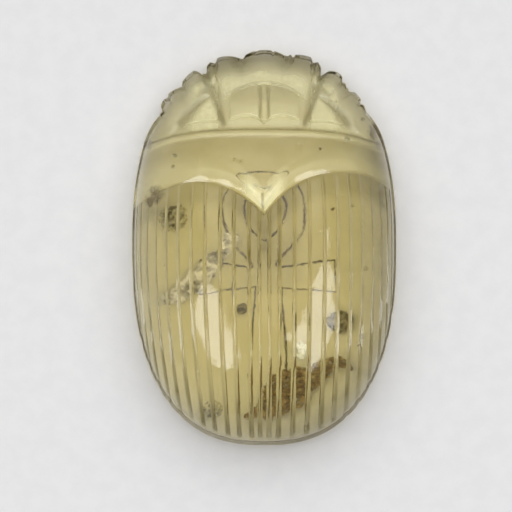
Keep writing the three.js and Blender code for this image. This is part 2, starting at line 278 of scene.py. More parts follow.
@dataclass(frozen=True)
class Thorax:
    """Smooth collar between the head and the wing cases, rolled over along its rear edge."""

    front: float = 12.35
    front_drop: float = 1.6
    front_power: float = 3.2
    half_width: float = 12.3
    seam_tip: float = 3.45
    left: Arch = Arch(6.8, 6.9, 4.3, 2.0)
    right: Arch = Arch(8.5, 7.9, 5.9, 2.5)
    level: float = 0.5
    roll_edge: float = -0.15
    roll_top: float = 0.66
    roll_length: float = 2.4
    roll_crest: float = 0.62
    roll_bulge: float = 0.12
    lip_level: float = 0.66
    lip_length: float = 0.7
    lip_rise: Fade = Fade(0, 0.5)

    def front_edge(self, x: Array) -> Array:
        """Where the front edge lies at places across."""
        return self.front - self.front_drop * np.abs(x / self.half_width) ** self.front_power

    def rear_edge(self, x: Array) -> Array:
        """Where the rear edge lies at places across: two arches with a point between them.

        Args:
            x: Places across, in millimetres.

        Returns:
            Places along, in millimetres.
        """
        across = np.abs(x)
        edges = []
        for arch in (self.left, self.right):
            inner = np.abs((across - arch.crest_x) / arch.crest_x) ** arch.power
            outer = ((across - arch.crest_x) / (arch.outer_x - arch.crest_x)) ** 2
            inner_y = lerp(arch.crest_y, self.seam_tip, inner)
            outer_y = lerp(arch.crest_y, arch.outer_y, outer)
            edges.append(np.where(across < arch.crest_x, inner_y, outer_y))
        return np.where(x < 0, edges[0], edges[1])

    def roll_level(self, share: Array) -> Array:
        """Level over the roll, from the rear edge at 0 to the roll's end at 1."""
        climbed = np.minimum(share / self.roll_crest, 1)
        rising = climbed + self.roll_bulge * np.sin(np.pi * climbed)
        settled = ease(share, self.roll_crest, 1)
        behind = lerp(self.roll_edge, self.roll_top, rising)
        return np.where(share > self.roll_crest, lerp(self.roll_top, self.level, settled), behind)


THORAX = Thorax()


class Turn(Enum):
    """What the scalloped outline does at a stop."""

    LOBE = "lobe"
    NOTCH = "notch"


@dataclass(frozen=True)
class Scallop:
    """A stop of the head's scalloped outline, by its angle from +X and its share of the oval."""

    angle: float
    share: float
    turn: Turn


@dataclass(frozen=True)
class HeadOutline:
    """Scalloped outline of the head shield and the front legs, from the right corner to the left."""

    lobes: tuple[Plan, ...] = (
        (40.5, 1.0),
        (57.5, 0.98),
        (66.5, 0.991),
        (76, 0.995),
        (89.8, 1.0),
        (103.8, 0.991),
        (112.2, 0.989),
        (124.3, 1.0),
        (139.5, 1.0),
    )
    notches: tuple[Plan, ...] = (
        (53, 0.965),
        (62.8, 0.957),
        (71.4, 0.941),
        (84, 0.973),
        (97.2, 0.96),
        (109.8, 0.944),
        (118.4, 0.971),
        (128.2, 0.968),
    )
    lobe_power: float = 0.8
    deepens: float = 8.0
    swelling: float = 14.0
    swell_level: float = 0.975
    swell_rise: int = 5
    swell_end: int = 24
    swell_from: Fade = Fade(11.5, 13.0)

    def stops(self) -> list[Scallop]:
        """Lobes and notches in the order of their angles."""
        lobes = [Scallop(angle, share, Turn.LOBE) for angle, share in self.lobes]
        notches = [Scallop(angle, share, Turn.NOTCH) for angle, share in self.notches]
        return sorted(lobes + notches, key=lambda stop: stop.angle)

    def share(self, x: Array, y: Array) -> Array:
        """Share of the plain oval that the outline reaches in the direction of plan points.

        Args:
            x: Places across, in millimetres.
            y: Places along, in millimetres.

        Returns:
            Shares of the oval.
        """
        angle = np.degrees(np.arctan2(y, x))
        reached = np.ones_like(angle)
        stops = self.stops()
        for first, second in zip(stops, stops[1:]):
            notch, lobe = (first, second) if first.turn is Turn.NOTCH else (second, first)
            within = (angle >= first.angle) & (angle <= second.angle)
            way = np.clip((angle - notch.angle) / (lobe.angle - notch.angle), 0, 1)
            climbed = np.sin(np.pi / 2 * way) ** self.lobe_power
            reached = np.where(within, lerp(notch.share, lobe.share, climbed), reached)
        return reached

    def swell(self, x: Array, y: Array) -> Array:
        """Rise of the lobes, and fall of the notches, towards the rim."""
        near_rim = np.minimum(DOME.share(x, y) / DOME.ledge, 1)
        fade = near_rim**self.swell_rise * (1 - near_rim**self.swell_end)
        return (self.share(x, y) - self.swell_level) * self.swelling * fade * self.swell_from(y)

    def drawn_in(self, x: Array, y: Array) -> Array:
        """Scale of plan points that brings the plain oval in to the scalloped one."""
        near_rim = (DOME.share(x, y) / DOME.ledge) ** self.deepens
        return lerp(1, self.share(x, y), near_rim)


@dataclass(frozen=True)
class HeadCarving:
    """Low relief of the head plate, cheeks, head shield and front legs, as levels over the dome."""

    ground: float = -0.65
    plate_half: float = 3.7
    plate_front: float = 17.35
    plate_shoulder: float = 1.2
    shoulder_power: float = 2.4
    plate_rear: float = 13.45
    plate_scallop: float = 0.4
    plate_rear_level: float = 0.5
    plate_front_level: float = -0.15
    plate_power: float = 1.3
    plate_margin: float = 0.15
    rear_step: Fade = Fade(-0.1, 0.32)
    side_step: Fade = Fade(0, 0.4)
    front_step: Fade = Fade(-0.1, 0.08)
    tab_half: float = 0.6
    tab_length: float = 0.35
    shield_level: float = 0.3
    shield_slope: float = 1.5
    shield_power: float = 1.4
    shield_sides: Fade = Fade(5.2, 3.4)
    cheek_apex: Plan = (5.4, 16.15)
    cheek_reach: Span = (-0.2, 1.6)
    cheek_outer: float = 8.6
    cheek_bow: float = 1.5
    cheek_slant: float = 0.78
    cheek_rear: float = 13.2
    cheek_dip: Fade = Fade(6.6, 8.8, 0.45)
    cheek_level: float = 0.45
    cheek_fall: float = 0.55
    cheek_edge: Fade = Fade(0.06, -0.3)
    cheek_step: Fade = Fade(-0.08, 0.3)
    cheek_side: Fade = Fade(4.6, 5.1)
    relief_side: Fade = Fade(4.0, 4.6)
    leg_level: float = 0.2
    leg_edge: Fade = Fade(0.15, 1.1)
    leg_step: Fade = Fade(0.2, 1.2)
    leg_side: Fade = Fade(4.6, 6.4)
    ripple: Ripple = Ripple(Seed.HEAD, 1.7)
    neck_place: float = 0.5
    neck_half: float = 0.6
    neck_depth: float = 0.12
    flank: Cut = Cut((5.5, 17.5), (4.15, 12.85), (1.7, 0.18), (0.8, 0.3), 1.0)
    inner_fork: Cut = Cut((5.3, 20.2), (5.1, 17.3), (0.75, 0.7), (0.5, 0.5), 1.1)
    outer_fork: Cut = Cut((6.6, 19.0), (5.3, 17.3), (0.9, 0.7), (0.65, 0.5), 1.1)
    seam: Cut = Cut((0.42, 17.1), (0.42, 13.7), (0.42, 0.42), (0.4, 0.4), 1.6)
    teeth: tuple[Cut, ...] = (
        Cut((-9.3, 17.7), (-8.0, 15.9), (0.9, 0.4), (0.4, 0.12)),
        Cut((-10.4, 15.8), (-8.6, 15.7), (0.5, 0.35), (0.25, 0.15)),
        Cut((-11.6, 14.6), (-9.5, 13.9), (0.9, 0.4), (0.38, 0.12)),
        Cut((8.7, 17.8), (6.8, 16.2), (0.8, 0.4), (0.4, 0.15)),
        Cut((9.8, 16.9), (7.5, 15.4), (0.8, 0.4), (0.4, 0.15)),
        Cut((10.9, 15.3), (8.8, 14.9), (0.7, 0.35), (0.35, 0.12)),
        Cut((-2.6, 21.1), (-1.9, 18.8), (0.75, 0.3), (0.5, 0.1)),
        Cut((3.3, 20.9), (2.4, 18.3), (0.5, 0.25), (0.5, 0.1)),
        Cut((2.6, 20.6), (2.1, 18.9), (0.3, 0.2), (0.25, 0.08)),
        Cut((-0.85, 21.1), (-0.8, 19.5), (0.3, 0.2), (0.22, 0.05)),
        Cut((0.95, 21.1), (0.9, 19.6), (0.3, 0.2), (0.2, 0.05)),
    )

    def plate_edge(self, x: Array) -> Array:
        """Where the head plate's front edge lies at places across."""
        return self.plate_front - self.plate_shoulder * np.abs(x / self.plate_half) ** self.shoulder_power

    def plate(self, x: Array, y: Array) -> Array:
        """Level of the head plate, which sinks towards its front, and of the shield before it.

        Args:
            x: Places across, in millimetres.
            y: Places along, in millimetres.

        Returns:
            Levels over the dome, in millimetres.
        """
        out = np.abs(x) / self.plate_half
        front = self.plate_edge(x)
        tab = near(x, 0, self.tab_half) * self.tab_length
        rear = self.plate_rear + self.plate_scallop * np.sin(np.pi * np.minimum(out, 1)) ** 2 - tab
        along = np.clip((y - rear) / (front - rear), 0, 1)
        plate = lerp(self.plate_rear_level, self.plate_front_level, along**self.plate_power)
        beyond = np.clip(y - front, 0, None)
        slope = np.exp(-((beyond / self.shield_slope) ** self.shield_power))
        shield = lerp(self.ground, self.shield_level, slope)
        shield = lerp(self.ground, shield, self.shield_sides(np.abs(x)))
        to_side = self.plate_half + self.plate_margin - np.abs(x)
        inside = ease(y, 0, 1) * self.rear_step(y - rear) * self.side_step(to_side)
        level = lerp(self.ground, plate, inside)
        return lerp(level, shield, self.front_step(y - front))

    def cheek(self, x: Array, y: Array) -> Array:
        """Rise of the cheeks and of the legs outside them, over the ground.

        Args:
            x: Places across, in millimetres.
            y: Places along, in millimetres.

        Returns:
            Rises, in millimetres.
        """
        apex_x, apex_y = self.cheek_apex
        across = np.abs(x)
        up = np.clip((y - self.cheek_rear) / (apex_y - self.cheek_rear), *self.cheek_reach)
        outer = lerp(self.cheek_outer, apex_x, np.sign(up) * np.abs(up) ** self.cheek_bow)
        outside = (across - outer) * self.cheek_slant
        drawn_down = self.cheek_rear - self.cheek_dip(across)
        inside = self.cheek_edge(outside) * self.cheek_step(y - drawn_down) * self.cheek_side(across)
        cheek = (self.cheek_level - self.ground) * lerp(1, self.cheek_fall, np.clip(up, 0, 1)) * inside
        leg_rise = self.leg_edge(outside) * self.leg_step(y - THORAX.front_edge(x))
        leg = (self.leg_level - self.ground) * leg_rise * self.leg_side(across)
        return np.maximum(cheek, leg)

    def level(self, x: Array, y: Array) -> Array:
        """Level of the whole head's relief at plan points, before anything is cut."""
        carved = self.plate(x, y) + self.cheek(x, y) * self.relief_side(np.abs(x))
        neck = near(y - THORAX.front_edge(x), self.neck_place, self.neck_half) * -self.neck_depth
        return carved + self.ripple(x, y) * UNEVEN + neck

    def depth(self, x: Array, y: Array) -> Array:
        """Depth of the head's cuts at plan points."""
        seams = (self.seam, self.seam.mirrored())
        forked = (self.inner_fork, self.outer_fork, self.flank)
        sides = [*forked, *(cut.mirrored() for cut in forked)]
        depth = np.zeros(np.broadcast(x, y).shape)
        for cut in (*seams, *sides, *self.teeth):
            depth = np.maximum(depth, cut(x, y))
        return depth


@dataclass(frozen=True)
class WingCases:
    """Incised lines of the wing cases, at an even pitch over the surface."""

    pitch: float = 1.6
    per_side: int = 11
    seam_place: float = 0.33
    straight_to: float = -1.3
    taper_left: float = 0.2
    taper_right: float = 0.07
    taper_power: float = 1.7
    width_front: float = 0.44
    width_rim: float = 0.68
    depth_front: float = 0.2
    depth_rim: float = 0.42
    section: tuple[float, ...] = (-1, -0.62, -0.28, 0, 0.28, 0.62, 1)
    section_power: float = 1.15
    beside_seam: Span = (0.35, 0.7)
    between: int = 3
    rim_columns: int = 14
    unevenness: float = 0.035
    strengths: Span = (0.8, 1.2)
    steadiness: float = 0.9
    swing: float = 0.2
    swings: Ripple = Ripple(Seed.GROOVES, 3.0)
    ground: Ripple = Ripple(Seed.WING_CASES, 5.0)
    sides: Fade = Fade(7.0, 8.5)
    stop_start: Span = (0.2, -0.25)
    stop_full: Span = (0.55, 0.7)

    def columns(self) -> tuple[Array, Array, Array, Array]:
        """Columns of the body's grid, aligned with the incised lines.

        Returns:
            Signed pitch of each column, how many half groove widths it lies beside that, its
            share of the groove's depth, and the number of the line that it belongs to.
        """
        draw = np.random.default_rng(Seed.LINE_PLACES)
        lines = [self.seam_place, *(i + 1.0 for i in range(self.per_side))]
        sides = []
        for _ in range(2):
            places = [line + draw.normal(0, self.unevenness) * (line > 1) for line in lines]
            rows = [(places[0] * f, -f, 0.0, NO_LINE) for f in self.beside_seam]
            for index, (line, after) in enumerate(zip(places, [*places[1:], None])):
                depths = [(1 - edge * edge) ** self.section_power for edge in self.section]
                rows += [(line, edge, deep, float(index)) for edge, deep in zip(self.section, depths)]
                if after is not None:
                    gaps = np.arange(1, self.between + 1) / (self.between + 1)
                    rows += [(lerp(line, after, f), 1 - 2 * f, 0.0, NO_LINE) for f in gaps]
            sides.append(np.array(rows))
        right, left = sides
        left = left[::-1] * np.array([-1, 1, 1, 1])
        middle = np.array([[0.0, 0.0, 0.0, NO_LINE]])
        return tuple(np.concatenate([left, middle, right]).T)

    def travelled(self, steps: int = 4000) -> Array:
        """Pitches travelled over the curved surface at even steps from the middle to the rim."""
        x = np.linspace(0, DOME.width / 2 * DOME.ledge, steps)
        z = DOME.height(x, np.zeros(steps), 0)
        return np.concatenate([[0], np.cumsum(np.hypot(np.diff(x), np.diff(z)))]) / self.pitch

    def plan_x(self, share: Array, y: Array) -> Array:
        """Place across of a column that is drawn in towards the tail."""
        taper = np.where(share < 0, self.taper_left, self.taper_right)
        behind = np.clip((self.straight_to - y) / (DOME.length / 2 + self.straight_to), 0, 1)
        drawn = share * (1 - taper * behind**self.taper_power)
        return drawn * DOME.foot_half_width(np.maximum(y, 0))

    def tail_end(self, share: Array) -> Array:
        """Place along at which each column runs out over the dome's foot."""
        outside = np.full(share.shape, -DOME.length / 2)
        inside = np.zeros(share.shape)
        for _ in range(HALVINGS):
            middle = (outside + inside) / 2
            beyond = DOME.share(self.plan_x(share, middle), middle) > DOME.ledge
            outside = np.where(beyond, middle, outside)
            inside = np.where(beyond, inside, middle)
        return inside

    def sunk(self, x: Array, y: Array, share: Array, cut: Array, strength: Array, by_rim: float) -> Array:
        """Depth of the incised lines along one row.

        Args:
            x: Places across, in millimetres.
            y: Places along, in millimetres.
            share: Where the columns are, as shares of the foot's half width.
            cut: Share of its line's full depth in each column.
            strength: How deep each column's line is, beside the usual depth.
            by_rim: How close to the rim the row lies, from 0 to 1.

        Returns:
            Depths, in millimetres.
        """
        depth = cut * (lerp(self.depth_front, self.depth_rim, by_rim) * strength)
        depth *= self.steadiness + self.swing * self.swings(x, y)
        by_side = self.sides(np.abs(x))
        start, full = lerp(*self.stop_start, by_side), lerp(*self.stop_full, by_side)
        return depth * ease(y - self.tail_end(share), start, full)


@dataclass(frozen=True)
class WearAndPaintedLight:
    """Where the carved surface is worn matt, given a frosting or stained, and where painted shade and a
    painted highlight go, as shares from 0 to 1.

    The painted shade darkens the glass's tint where the glass looks dark: round the rims, in the cuts and
    grooves, behind the rolls, on the collar and down the middle of the wing cases. The painted highlight puts
    pale matt frosting on edges that face the tail and the softboxes, on the thorax's roll and along its lip.
    The remaining fields belong to the frosting of the head.
    """

    outline: HeadOutline = field(default_factory=HeadOutline)
    carving: HeadCarving = field(default_factory=HeadCarving)
    stains: tuple[tuple[float, float, float], ...] = (
        (11.8, 12.1, 1.5),
        (12.2, 11.0, 0.9),
        (-12.4, 10.9, 1.0),
        (-11.3, 5.6, 1.3),
        (-12.2, 4.9, 0.8),
        (10.4, 13.6, 0.4),
        (8.8, 11.4, 0.35),
        (10.3, -9.4, 0.5),
        (9.9, -10.3, 0.35),
        (10.7, -2.2, 0.5),
        (7.2, 4.1, 0.3),
        (9.3, 4.4, 0.4),
        (-10.5, -1.8, 0.25),
        (-9.4, 9.7, 0.4),
        (-9.6, 8.5, 0.35),
        (-3.1, 9.3, 0.22),
        (5.9, 10.4, 0.25),
        (8.6, 11.5, 0.3),
    )

    on_head: Fade = Fade(0, 0.25)
    scalloped_from: float = 11.0
    frost_outline: float = 0.985
    worn_everywhere: float = 0.15
    worn_head: float = 0.35
    plate_sides: Fade = Fade(3.9, 3.6)
    # The fields from here to the grooves' fields shape the painted shade: dark olive where the glass looks
    # dark at rims, cuts, the collar and behind the rolls.
    shade_plate: Fade = Fade(14.6, 17.0, 0.24)
    shade_plate_front: Fade = Fade(0.1, -0.1)
    shade_shield: Span = (0.5, 0.9)
    shade_shield_sides: Fade = Fade(7.4, 6.2)
    shade_shield_rim: Fade = Fade(2.3, 0.5)
    shade_cuts: Fade = Fade(0.08, 0.32, 0.32)
    shade_valley: Stroke = Stroke((8.7, 13.2), (5.6, 17.0), Fade(1.0, 0.1, 0.55))
    shade_flank: Stroke = Stroke((6.1, 17.8), (4.35, 13.1), Fade(0.55, 0.1, 0.55))
    shade_crease: Stroke = Stroke((-0.2, 5.6), (-0.15, 3.9), Fade(0.22, 0.08, 0.6))
    shade_neck: tuple[float, float, float] = (0.12, 0.26, 0.6)
    shade_collar_front: Fade = Fade(-0.5, -0.95, 0.3)
    shade_collar_rear: Fade = Fade(-3.4, -1.3)
    shade_collar_middle: Fade = Fade(7, 2)
    shade_collar_middle_share: float = 0.6
    wing_from: Fade = Fade(-0.1, 0.05)
    shade_behind_roll: Fade = Fade(3.4, 1.4, 0.45)
    shaded_lean: float = 0.2
    shaded: Fade = Fade(-1, 11)
    shade_rim: Span = (0.3, 0.8)
    shade_rim_reach: Span = (2.8, 4.4)
    shade_rim_full: float = 0.6
    shade_tail_rim: Fade = Fade(0.9, 0.2, 0.3)
    shade_middle: Fade = Fade(5.5, 2.5, 0.42)
    shade_middle_front: Fade = Fade(-6.0, -3.0)
    shade_lines_inside: float = 0.1
    shade_lines_rim: Fade = Fade(4.5, 1.5)
    shade_lines: Fade = Fade(0.05, 0.2)
    # Frosting of the head; the edges, roll, point and lip fields place a painted highlight in the same pale
    # matt frosting.
    frost_shield: Fade = Fade(0.0, 0.3, 0.4)
    frost_shield_rim: Fade = Fade(0.9, 2.4)
    frost_shield_sides: Fade = Fade(6.2, 3.6)
    frost_cheek: Fade = Fade(4.6, 5.0, 0.42)
    frost_cheek_outer: Fade = Fade(9.0, 7.0)
    frost_plate: Fade = Fade(16.5, 14.5, 0.3)
    highlight_edges: Fade = Fade(0.12, 0.5, 0.55)
    frost_least: float = 0.16
    frost_rim: Fade = Fade(0.4, 1.5)
    highlight_roll_front: Fade = Fade(3.4, 1.6)
    highlight_roll_rear: Fade = Fade(0.1, 0.4)
    highlight_roll: float = 0.12
    highlight_point: Fade = Fade(2.8, 1.2, 0.4)
    highlight_lip: tuple[float, float, float] = (-0.35, 0.4, 0.2)
    frost_thorax: Fade = Fade(0, 0.3, 0.03)
    stain_edges: Span = (1.3, 0.2)

    def head(self, x: Array, y: Array) -> Array:
        """Share that is 1 on the head."""
        return self.on_head(y - THORAX.front_edge(x))

    def worn(self, x: Array, y: Array) -> Array:
        """Wear of the polish, which is stronger on the head."""
        return self.worn_everywhere + self.worn_head * self.head(x, y)

    def inward(self, x: Array, y: Array) -> Array:
        """Distance in from the outline, in millimetres."""
        reached = np.where(y > self.scalloped_from, self.outline.share(x, y), 1)
        return (reached - DOME.share(x, y)) * np.hypot(x, y)

    def painted_shade(self, x: Array, y: Array, sunk: Array) -> Array:
        """Painted shade, which is darkest round the rims, behind the rolls and in the cuts, where the glass
        looks dark.

        Args:
            x: Places across, in millimetres.
            y: Places along, in millimetres.
            sunk: How far points lie under the plain dome, in millimetres.

        Returns:
            Shares of painted shade.
        """
        across, inward, head = np.abs(x), self.inward(x, y), self.head(x, y)
        front, behind = y - THORAX.front_edge(x), THORAX.rear_edge(x) - y
        shield = lerp(*self.shade_shield, self.shade_shield_sides(across)) * self.shade_shield_rim(inward)
        before_plate = self.shade_plate_front(y - self.carving.plate_edge(x))
        plate = self.shade_plate(y) * self.plate_sides(across) * before_plate
        carved = [plate, self.shade_valley(across, y), self.shade_flank(across, y)]
        carved.append(self.shade_cuts(self.carving.depth(x, y)))
        on_head = np.maximum.reduce([*carved, shield]) * head
        neck_place, neck_half, neck = self.shade_neck
        border = neck * near(front, neck_place, neck_half)
        collar = self.shade_collar_front(front) * self.shade_collar_rear(front)
        collar = collar * lerp(1, self.shade_collar_middle_share, self.shade_collar_middle(across))
        wing = self.wing_from(behind)
        # Painted shadow in a band behind the thorax's roll.
        shadow = self.shade_behind_roll(behind) * wing
        # Painted shade that grows heavier towards the right and the tail.
        shaded = self.shaded(x - self.shaded_lean * y)
        reach = ease(inward, lerp(*self.shade_rim_reach, shaded), self.shade_rim_full)
        rim = lerp(*self.shade_rim, shaded) * reach * (1 - head) + self.shade_tail_rim(inward) * wing
        middle = self.shade_middle(across) * self.shade_middle_front(y) * wing
        # Painted shade in the wing cases' grooves, heavier near the rim.
        lines = lerp(self.shade_lines_inside, 1.0, self.shade_lines_rim(inward)) * self.shade_lines(sunk) * wing
        cuts = np.maximum(lines, self.shade_crease(x, y))
        return np.clip(np.maximum(on_head + border + collar + shadow + rim + middle, cuts), 0, 1)

    def frost_and_highlight(self, x: Array, y: Array, facing_tail: Array) -> Array:
        """Frosting on the head's raised parts, and a painted highlight of the same pale matt frosting on
        edges that face the tail and the softboxes, on the thorax's roll and along its lip.

        Args:
            x: Places across, in millimetres.
            y: Places along, in millimetres.
            facing_tail: How much the surface faces the tail, up to 1.

        Returns:
            Shares of frosting and painted highlight.
        """
        across = np.abs(x)
        inward = (self.frost_outline - DOME.share(x, y)) * np.hypot(x, y)
        shield = self.frost_shield(y - self.carving.plate_edge(x)) * self.frost_shield_rim(inward)
        shield = shield * self.frost_shield_sides(across)
        cheek = self.frost_cheek(across) * self.frost_cheek_outer(across)
        plate = self.frost_plate(y) * self.plate_sides(across)
        least = np.full(x.shape, self.frost_least)
        # Edges that face the tail, towards the softboxes, get a painted highlight.
        on_head = np.maximum.reduce([shield, cheek, plate, self.highlight_edges(facing_tail), least])
        on_head = on_head * self.frost_rim(inward)
        # Painted highlight on the thorax's roll and its point, and along the lip.
        up_roll = y - THORAX.rear_edge(x)
        roll = self.highlight_roll_rear(up_roll) * self.highlight_roll_front(up_roll)
        on_roll = (self.highlight_roll + self.highlight_point(across)) * roll
        lip_place, lip_half, lip = self.highlight_lip
        on_lip = lip * near(y - THORAX.front_edge(x), lip_place, lip_half)
        return on_head * self.head(x, y) + self.frost_thorax(up_roll) + on_roll + on_lip

    def stain(self, x: Array, y: Array) -> Array:
        """Brown stains in chips and corners."""
        outer, inner = self.stain_edges
        spots = [ease(np.hypot(x - a, y - b), radius * outer, radius * inner) for a, b, radius in self.stains]
        return np.maximum.reduce(spots)


# ---------------------------------------------------------------- mesh work


def deselect() -> None:
    """Leave nothing selected."""
    bpy.ops.object.select_all(action="DESELECT")


def only(piece: bpy.types.Object) -> bpy.types.Object:
    """Make one piece the selected and active one."""
    deselect()
    piece.select_set(True)
    bpy.context.view_layer.objects.active = piece
    return piece


def bent_grid(name: str, columns: int, rows: int, place: Callable[[Array, Array], Array]) -> bpy.types.Object:
    """Add a grid and bend it to a surface.

    Args:
        name: Name of the new piece.
        columns: Vertices across.
        rows: Vertices along.
        place: Gives the points, in millimetres, for column and row numbers.

    Returns:
        The bent grid, with its place in its mesh.
    """
    deselect()
    bpy.ops.mesh.primitive_grid_add(x_subdivisions=columns - 1, y_subdivisions=rows - 1, size=2)
    piece = bpy.context.object
    piece.name = name
    piece.data.name = name
    count = len(piece.data.vertices)
    flat = np.empty(count * 3, np.float32)
    piece.data.vertices.foreach_get("co", flat)
    flat = flat.reshape(-1, 3)
    i = np.rint((flat[:, 0] + 1) / 2 * (columns - 1)).astype(int)
    j = np.rint((flat[:, 1] + 1) / 2 * (rows - 1)).astype(int)
    piece.data.vertices.foreach_set("co", (place(i, j) * MM).astype(np.float32).ravel())
    piece.data.update()
    return piece


def surface_of(mesh: bpy.types.Mesh) -> tuple[Array, Array]:
    """Read a mesh's vertices, in millimetres, and their normals."""
    points = np.empty(len(mesh.vertices) * 3, np.float32)
    normals = np.empty(len(mesh.vertices) * 3, np.float32)
    mesh.vertices.foreach_get("co", points)
    mesh.vertex_normals.foreach_get("vector", normals)
    return points.reshape(-1, 3) / MM, normals.reshape(-1, 3)


def moved(piece: bpy.types.Object, change: Callable[[Array, Array], Array]) -> bpy.types.Object:
    """Move a piece's vertices.

    Args:
        piece: Piece to reshape.
        change: Gives new points for points and their normals, all in millimetres.

    Returns:
        The same piece.
    """
    mesh = piece.data
    after = change(*surface_of(mesh)) * MM
    mesh.vertices.foreach_set("co", after.astype(np.float32).ravel())
    mesh.update()
    return piece


def applied(piece: bpy.types.Object, kind: str, **settings: object) -> bpy.types.Object:
    """Add a modifier of a kind, set it and apply it."""
    only(piece)
    modifier = piece.modifiers.new(kind.lower(), kind)
    for key, value in settings.items():
        setattr(modifier, key, value)
    bpy.ops.object.modifier_apply(modifier=modifier.name)
    return piece


def smoothed(piece: bpy.types.Object, degrees: float = SMOOTH_TO) -> bpy.types.Object:
    """Shade a piece smooth, apart from edges sharper than an angle."""
    only(piece)
    bpy.ops.object.shade_smooth_by_angle(angle=math.radians(degrees))
    return piece


def strand(name: str, points: Array, radii: Array, sides: int) -> bpy.types.Object:
    """Round bar along points, as a mesh.

    Args:
        name: Name of the new piece.
        points: Points of its middle line, in millimetres.
        radii: Radius at each point, in millimetres.
        sides: Sides of its section, which are a multiple of 4.

    Returns:
        The bar.
    """
    curve = bpy.data.curves.new(name, "CURVE")
    curve.dimensions = "3D"
    curve.twist_mode = "Z_UP"
    curve.bevel_depth = MM
    curve.bevel_resolution = sides // 4 - 1 if sides > 4 else 0
    curve.use_fill_caps = True
    spline = curve.splines.new("POLY")
    spline.points.add(len(points) - 1)
    for point, place, radius in zip(spline.points, points, radii):
        point.co = (*(np.array(place) * MM), 1)
        point.radius = float(radius)
    piece = bpy.data.objects.new(name, curve)
    bpy.context.scene.collection.objects.link(piece)
    only(piece)
    bpy.ops.object.convert(target="MESH")
    bpy.ops.object.mode_set(mode="EDIT")
    bpy.ops.mesh.select_all(action="SELECT")
    bpy.ops.mesh.remove_doubles(threshold=1e-7)
    bpy.ops.mesh.normals_make_consistent(inside=False)
    bpy.ops.object.mode_set(mode="OBJECT")
    return bpy.context.object


def joined(name: str, parts: list[bpy.types.Object]) -> bpy.types.Object:
    """Make several pieces one.

    Args:
        name: Name of the one piece.
        parts: Pieces to join, which are used up.

    Returns:
        The one piece.
    """
    deselect()
    for part in parts:
        part.select_set(True)
    bpy.context.view_layer.objects.active = parts[0]
    if len(parts) > 1:
        bpy.ops.object.join()
    parts[0].name = name
    parts[0].data.name = name
    return parts[0]


# ---------------------------------------------------------------- shader work


class Value:
    """A number in a shader, which Python arithmetic works on by adding Math nodes."""

    def __init__(self, graph: "Graph", socket: bpy.types.NodeSocket) -> None:
        """Wrap a socket of a graph."""
        self.graph = graph
        self.socket = socket

    def _math(self, operation: str, first: "Value | float", second: "Value | float") -> "Value":
        """Add a Math node on two values."""
        return self.graph.node("ShaderNodeMath", {"operation": operation}, {0: first, 1: second})

    def __add__(self, other: "Value | float") -> "Value":
        """Sum."""
        return self._math("ADD", self, other)

    def __radd__(self, other: float) -> "Value":
        """Sum with a number first."""
        return self._math("ADD", other, self)

    def __mul__(self, other: "Value | float") -> "Value":
        """Product."""
        return self._math("MULTIPLY", self, other)

    def __rmul__(self, other: float) -> "Value":
        """Product with a number first."""
        return self._math("MULTIPLY", other, self)

    def stretched(self, low: float, high: float) -> "Value":
        """Smooth rise from 0 at low to 1 at high."""
        settings = {"interpolation_type": "SMOOTHSTEP"}
        return self.graph.node("ShaderNodeMapRange", settings, {"Value": self, 1: low, 2: high})


class Graph:
    """A tree of shader nodes being built."""

    def __init__(self, tree: bpy.types.NodeTree) -> None:
        """Empty a tree."""
        self.tree = tree
        self.tree.nodes.clear()

    def node(
        self,
        kind: str,
        settings: dict[str, object],
        inputs: dict[str | int, object],
        result: str | int | None = 0,
    ) -> Value | None:
        """Add a node.

        Args:
            kind: Type of the node.
            settings: Its properties, which are set first.
            inputs: Values or links of its sockets, by name or number.
            result: Name or number of the socket that is handed back, if any is.

        Returns:
            One of its outputs, or nothing.
        """
        node = self.tree.nodes.new(kind)
        for key, value in settings.items():
            setattr(node, key, value)
        for key, value in inputs.items():
            if isinstance(value, Value):
                self.tree.links.new(value.socket, node.inputs[key])
            else:
                node.inputs[key].default_value = value
        return None if result is None else Value(self, node.outputs[result])


@dataclass(frozen=True)
class Pattern:
    """Noise over a piece.

    Attributes:
        scale: Waves per metre.
        detail: Detail of the noise.
        roughness: Roughness of the noise.
        contrast: Heights between which it is stretched.
    """

    scale: float
    detail: float = 3.0
    roughness: float = 0.55
    contrast: Span = (0.0, 1.0)


class Paint(Graph):
    """A material being mixed, with one Principled shader."""

    def __init__(self, name: str) -> None:
        """Start an empty material."""
        self.material = bpy.data.materials.new(name)
        self.material.use_nodes = True
        super().__init__(self.material.node_tree)
        self.output = self.tree.nodes.new("ShaderNodeOutputMaterial")
        self.places = self.node("ShaderNodeTexCoord", {}, {}, "Object")

    def noise(self, pattern: Pattern) -> Value:
        """Noise over the object, as it comes."""
        shape = {"Scale": pattern.scale, "Detail": pattern.detail, "Roughness": pattern.roughness}
        return self.node("ShaderNodeTexNoise", {}, {"Vector": self.places, **shape}, "Fac")

    def patches(self, pattern: Pattern) -> Value:
        """Noise over the object, stretched by its contrast."""
        return self.noise(pattern).stretched(*pattern.contrast)

    def kept(self, name: str) -> Value:
        """Share that is kept on the mesh under a name."""
        return self.node("ShaderNodeAttribute", {"attribute_name": name}, {}, "Fac")

    def mix(self, share: Value | float, first: object, second: object) -> Value:
        """Colour between two colours."""
        settings = {"data_type": "RGBA"}
        return self.node("ShaderNodeMix", settings, {0: share, 6: first, 7: second}, 2)

    def bump(self, height: Value, distance: float, strength: float = 1.0) -> Value:
        """Normal of a bumpy surface."""
        inputs = {"Height": height, "Distance": distance, "Strength": strength}
        return self.node("ShaderNodeBump", {}, inputs, "Normal")

    def principled(self, **inputs: object) -> Value:
        """Add the Principled shader; underscores in the names stand for spaces."""
        named = {key.replace("_", " "): value for key, value in inputs.items()}
        return self.node("ShaderNodeBsdfPrincipled", {}, named)

    def finished(self, surface: Value, volume: Value | None = None) -> bpy.types.Material:
        """Join the shaders to the output."""
        self.tree.links.new(surface.socket, self.output.inputs["Surface"])
        if volume is not None:
            self.tree.links.new(volume.socket, self.output.inputs["Volume"])
        return self.material


